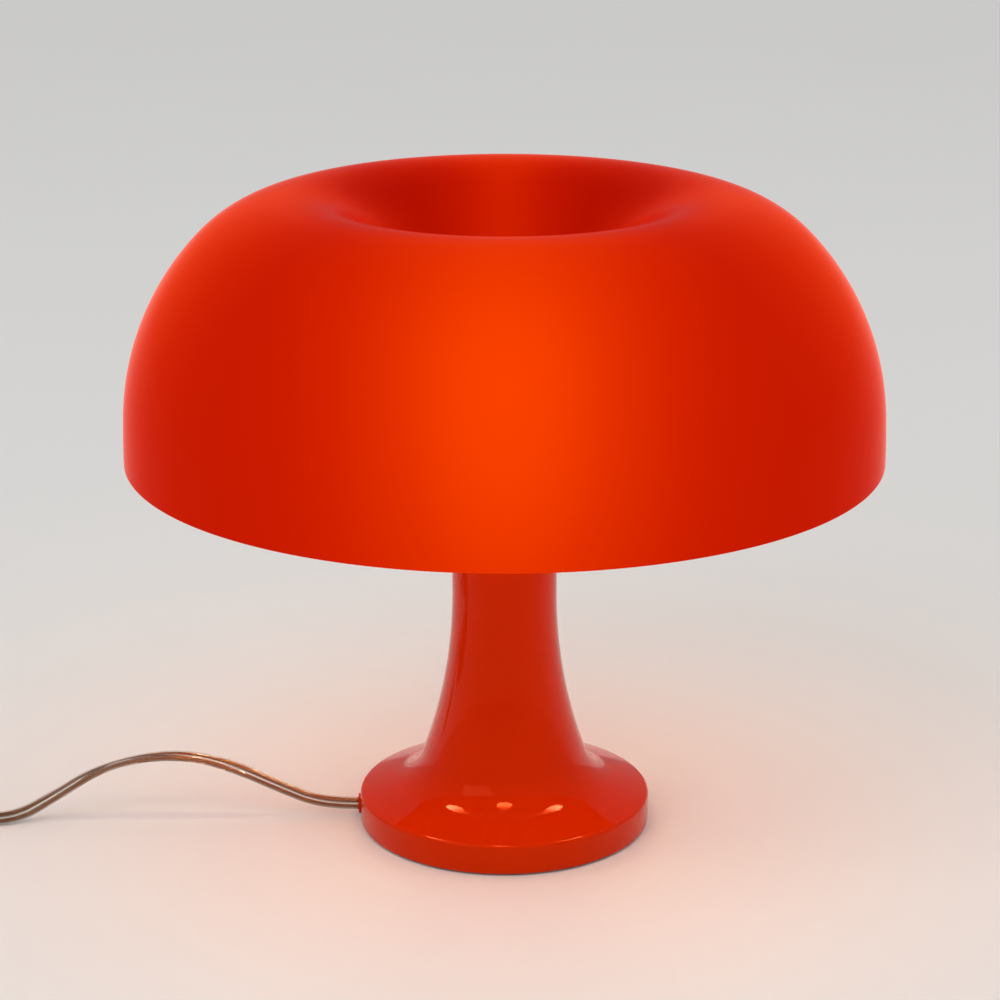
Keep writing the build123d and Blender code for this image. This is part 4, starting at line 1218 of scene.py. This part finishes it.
@dataclass
class SoftLight:
    """A square light that points at the lamp, its power in watts."""

    name: str
    place: Point
    size: float
    power: float
    in_gloss: bool = True

    AIM = (0.0, 0.0, 0.12)

    def build(self) -> None:
        """Makes the light."""
        data = bpy.data.lights.new(self.name, "AREA")
        data.size = self.size
        data.energy = self.power
        light = linked(self.name, data)
        light.location = self.place
        way = Vector(self.AIM) - Vector(self.place)
        light.rotation_euler = way.to_track_quat("-Z", "Y").to_euler()
        light.visible_glossy = self.in_gloss


@dataclass
class Studio:
    """A plain pale floor under soft light."""

    floor_size: float = 16.0
    floor_colour: Colour = (0.73, 0.725, 0.71, 1.0)
    sky: float = 0.86
    sky_in_gloss: float = 0.3
    lights: tuple[SoftLight, ...] = (
        SoftLight("key", (-1.1, -1.3, 1.7), 1.4, 10.0),
        SoftLight("fill", (1.6, -0.7, 1.1), 1.6, 4.0, in_gloss=False),
    )

    CLOUD_SCALE = 3.0
    CLOUDED = 0.98
    ROUGHNESS = 0.6
    SPECULAR = 0.2

    def floor(self) -> None:
        """Makes the floor."""
        half = self.floor_size / 2
        corners = [(-half, -half, 0), (half, -half, 0), (half, half, 0), (-half, half, 0)]
        floor = drawn("floor", corners, [], [(0, 1, 2, 3)])
        made = bpy.data.materials.new("pale_floor")
        made.use_nodes = True
        graph = Graph(made.node_tree)
        cloud = graph.noise(graph.place(), self.CLOUD_SCALE, 3.0)
        clouded = tuple(c * self.CLOUDED for c in self.floor_colour)
        shader = graph.give(
            made.node_tree.nodes["Principled BSDF"], Roughness=self.ROUGHNESS,
            Base_Color=graph.mix(cloud, clouded, self.floor_colour), Specular_IOR_Level=self.SPECULAR,
        )
        # seen from below, the floor lets the lamp's underside show
        behind = graph.node("ShaderNodeNewGeometry").outputs["Backfacing"]
        seen = graph.node("ShaderNodeLightPath").outputs["Is Camera Ray"]
        through = graph.node("ShaderNodeBsdfTransparent").outputs["BSDF"]
        share = graph.times(behind, seen)
        shown = graph.node("ShaderNodeMixShader", {0: share, 1: shader.outputs["BSDF"], 2: through})
        graph.give(made.node_tree.nodes["Material Output"], Surface=shown.outputs["Shader"])
        floor.data.materials.append(made)

    def world(self) -> None:
        """Makes the even light from all round, weaker in reflections."""
        world = bpy.data.worlds.new("studio")
        world.use_nodes = True
        graph = Graph(world.node_tree)
        glossy = graph.node("ShaderNodeLightPath").outputs["Is Glossy Ray"]
        strength = graph.times(glossy, self.sky_in_gloss - self.sky, self.sky)
        graph.give(world.node_tree.nodes["Background"], Color=WHITE, Strength=strength)
        bpy.context.scene.world = world

    def build(self) -> None:
        """Makes floor, lights and world, and sets how colours show."""
        self.floor()
        for light in self.lights:
            light.build()
        self.world()
        bpy.context.scene.view_settings.view_transform = "Standard"


def main() -> None:
    """Builds the studio and every piece of the lamp in order."""
    logging.basicConfig(level=logging.INFO, format="%(message)s")
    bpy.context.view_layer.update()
    Camera().build()
    FlatFlex().build(PlugRelief().build())
    Studio().build()
    dress_kept_nodes()
    lathe = Lathe()
    for maker in (Shade(), Foot()):
        piece = maker.build(lathe)
        log.info("%s: %d faces", piece.name, len(piece.data.polygons))


if __name__ == "__main__":
    main()
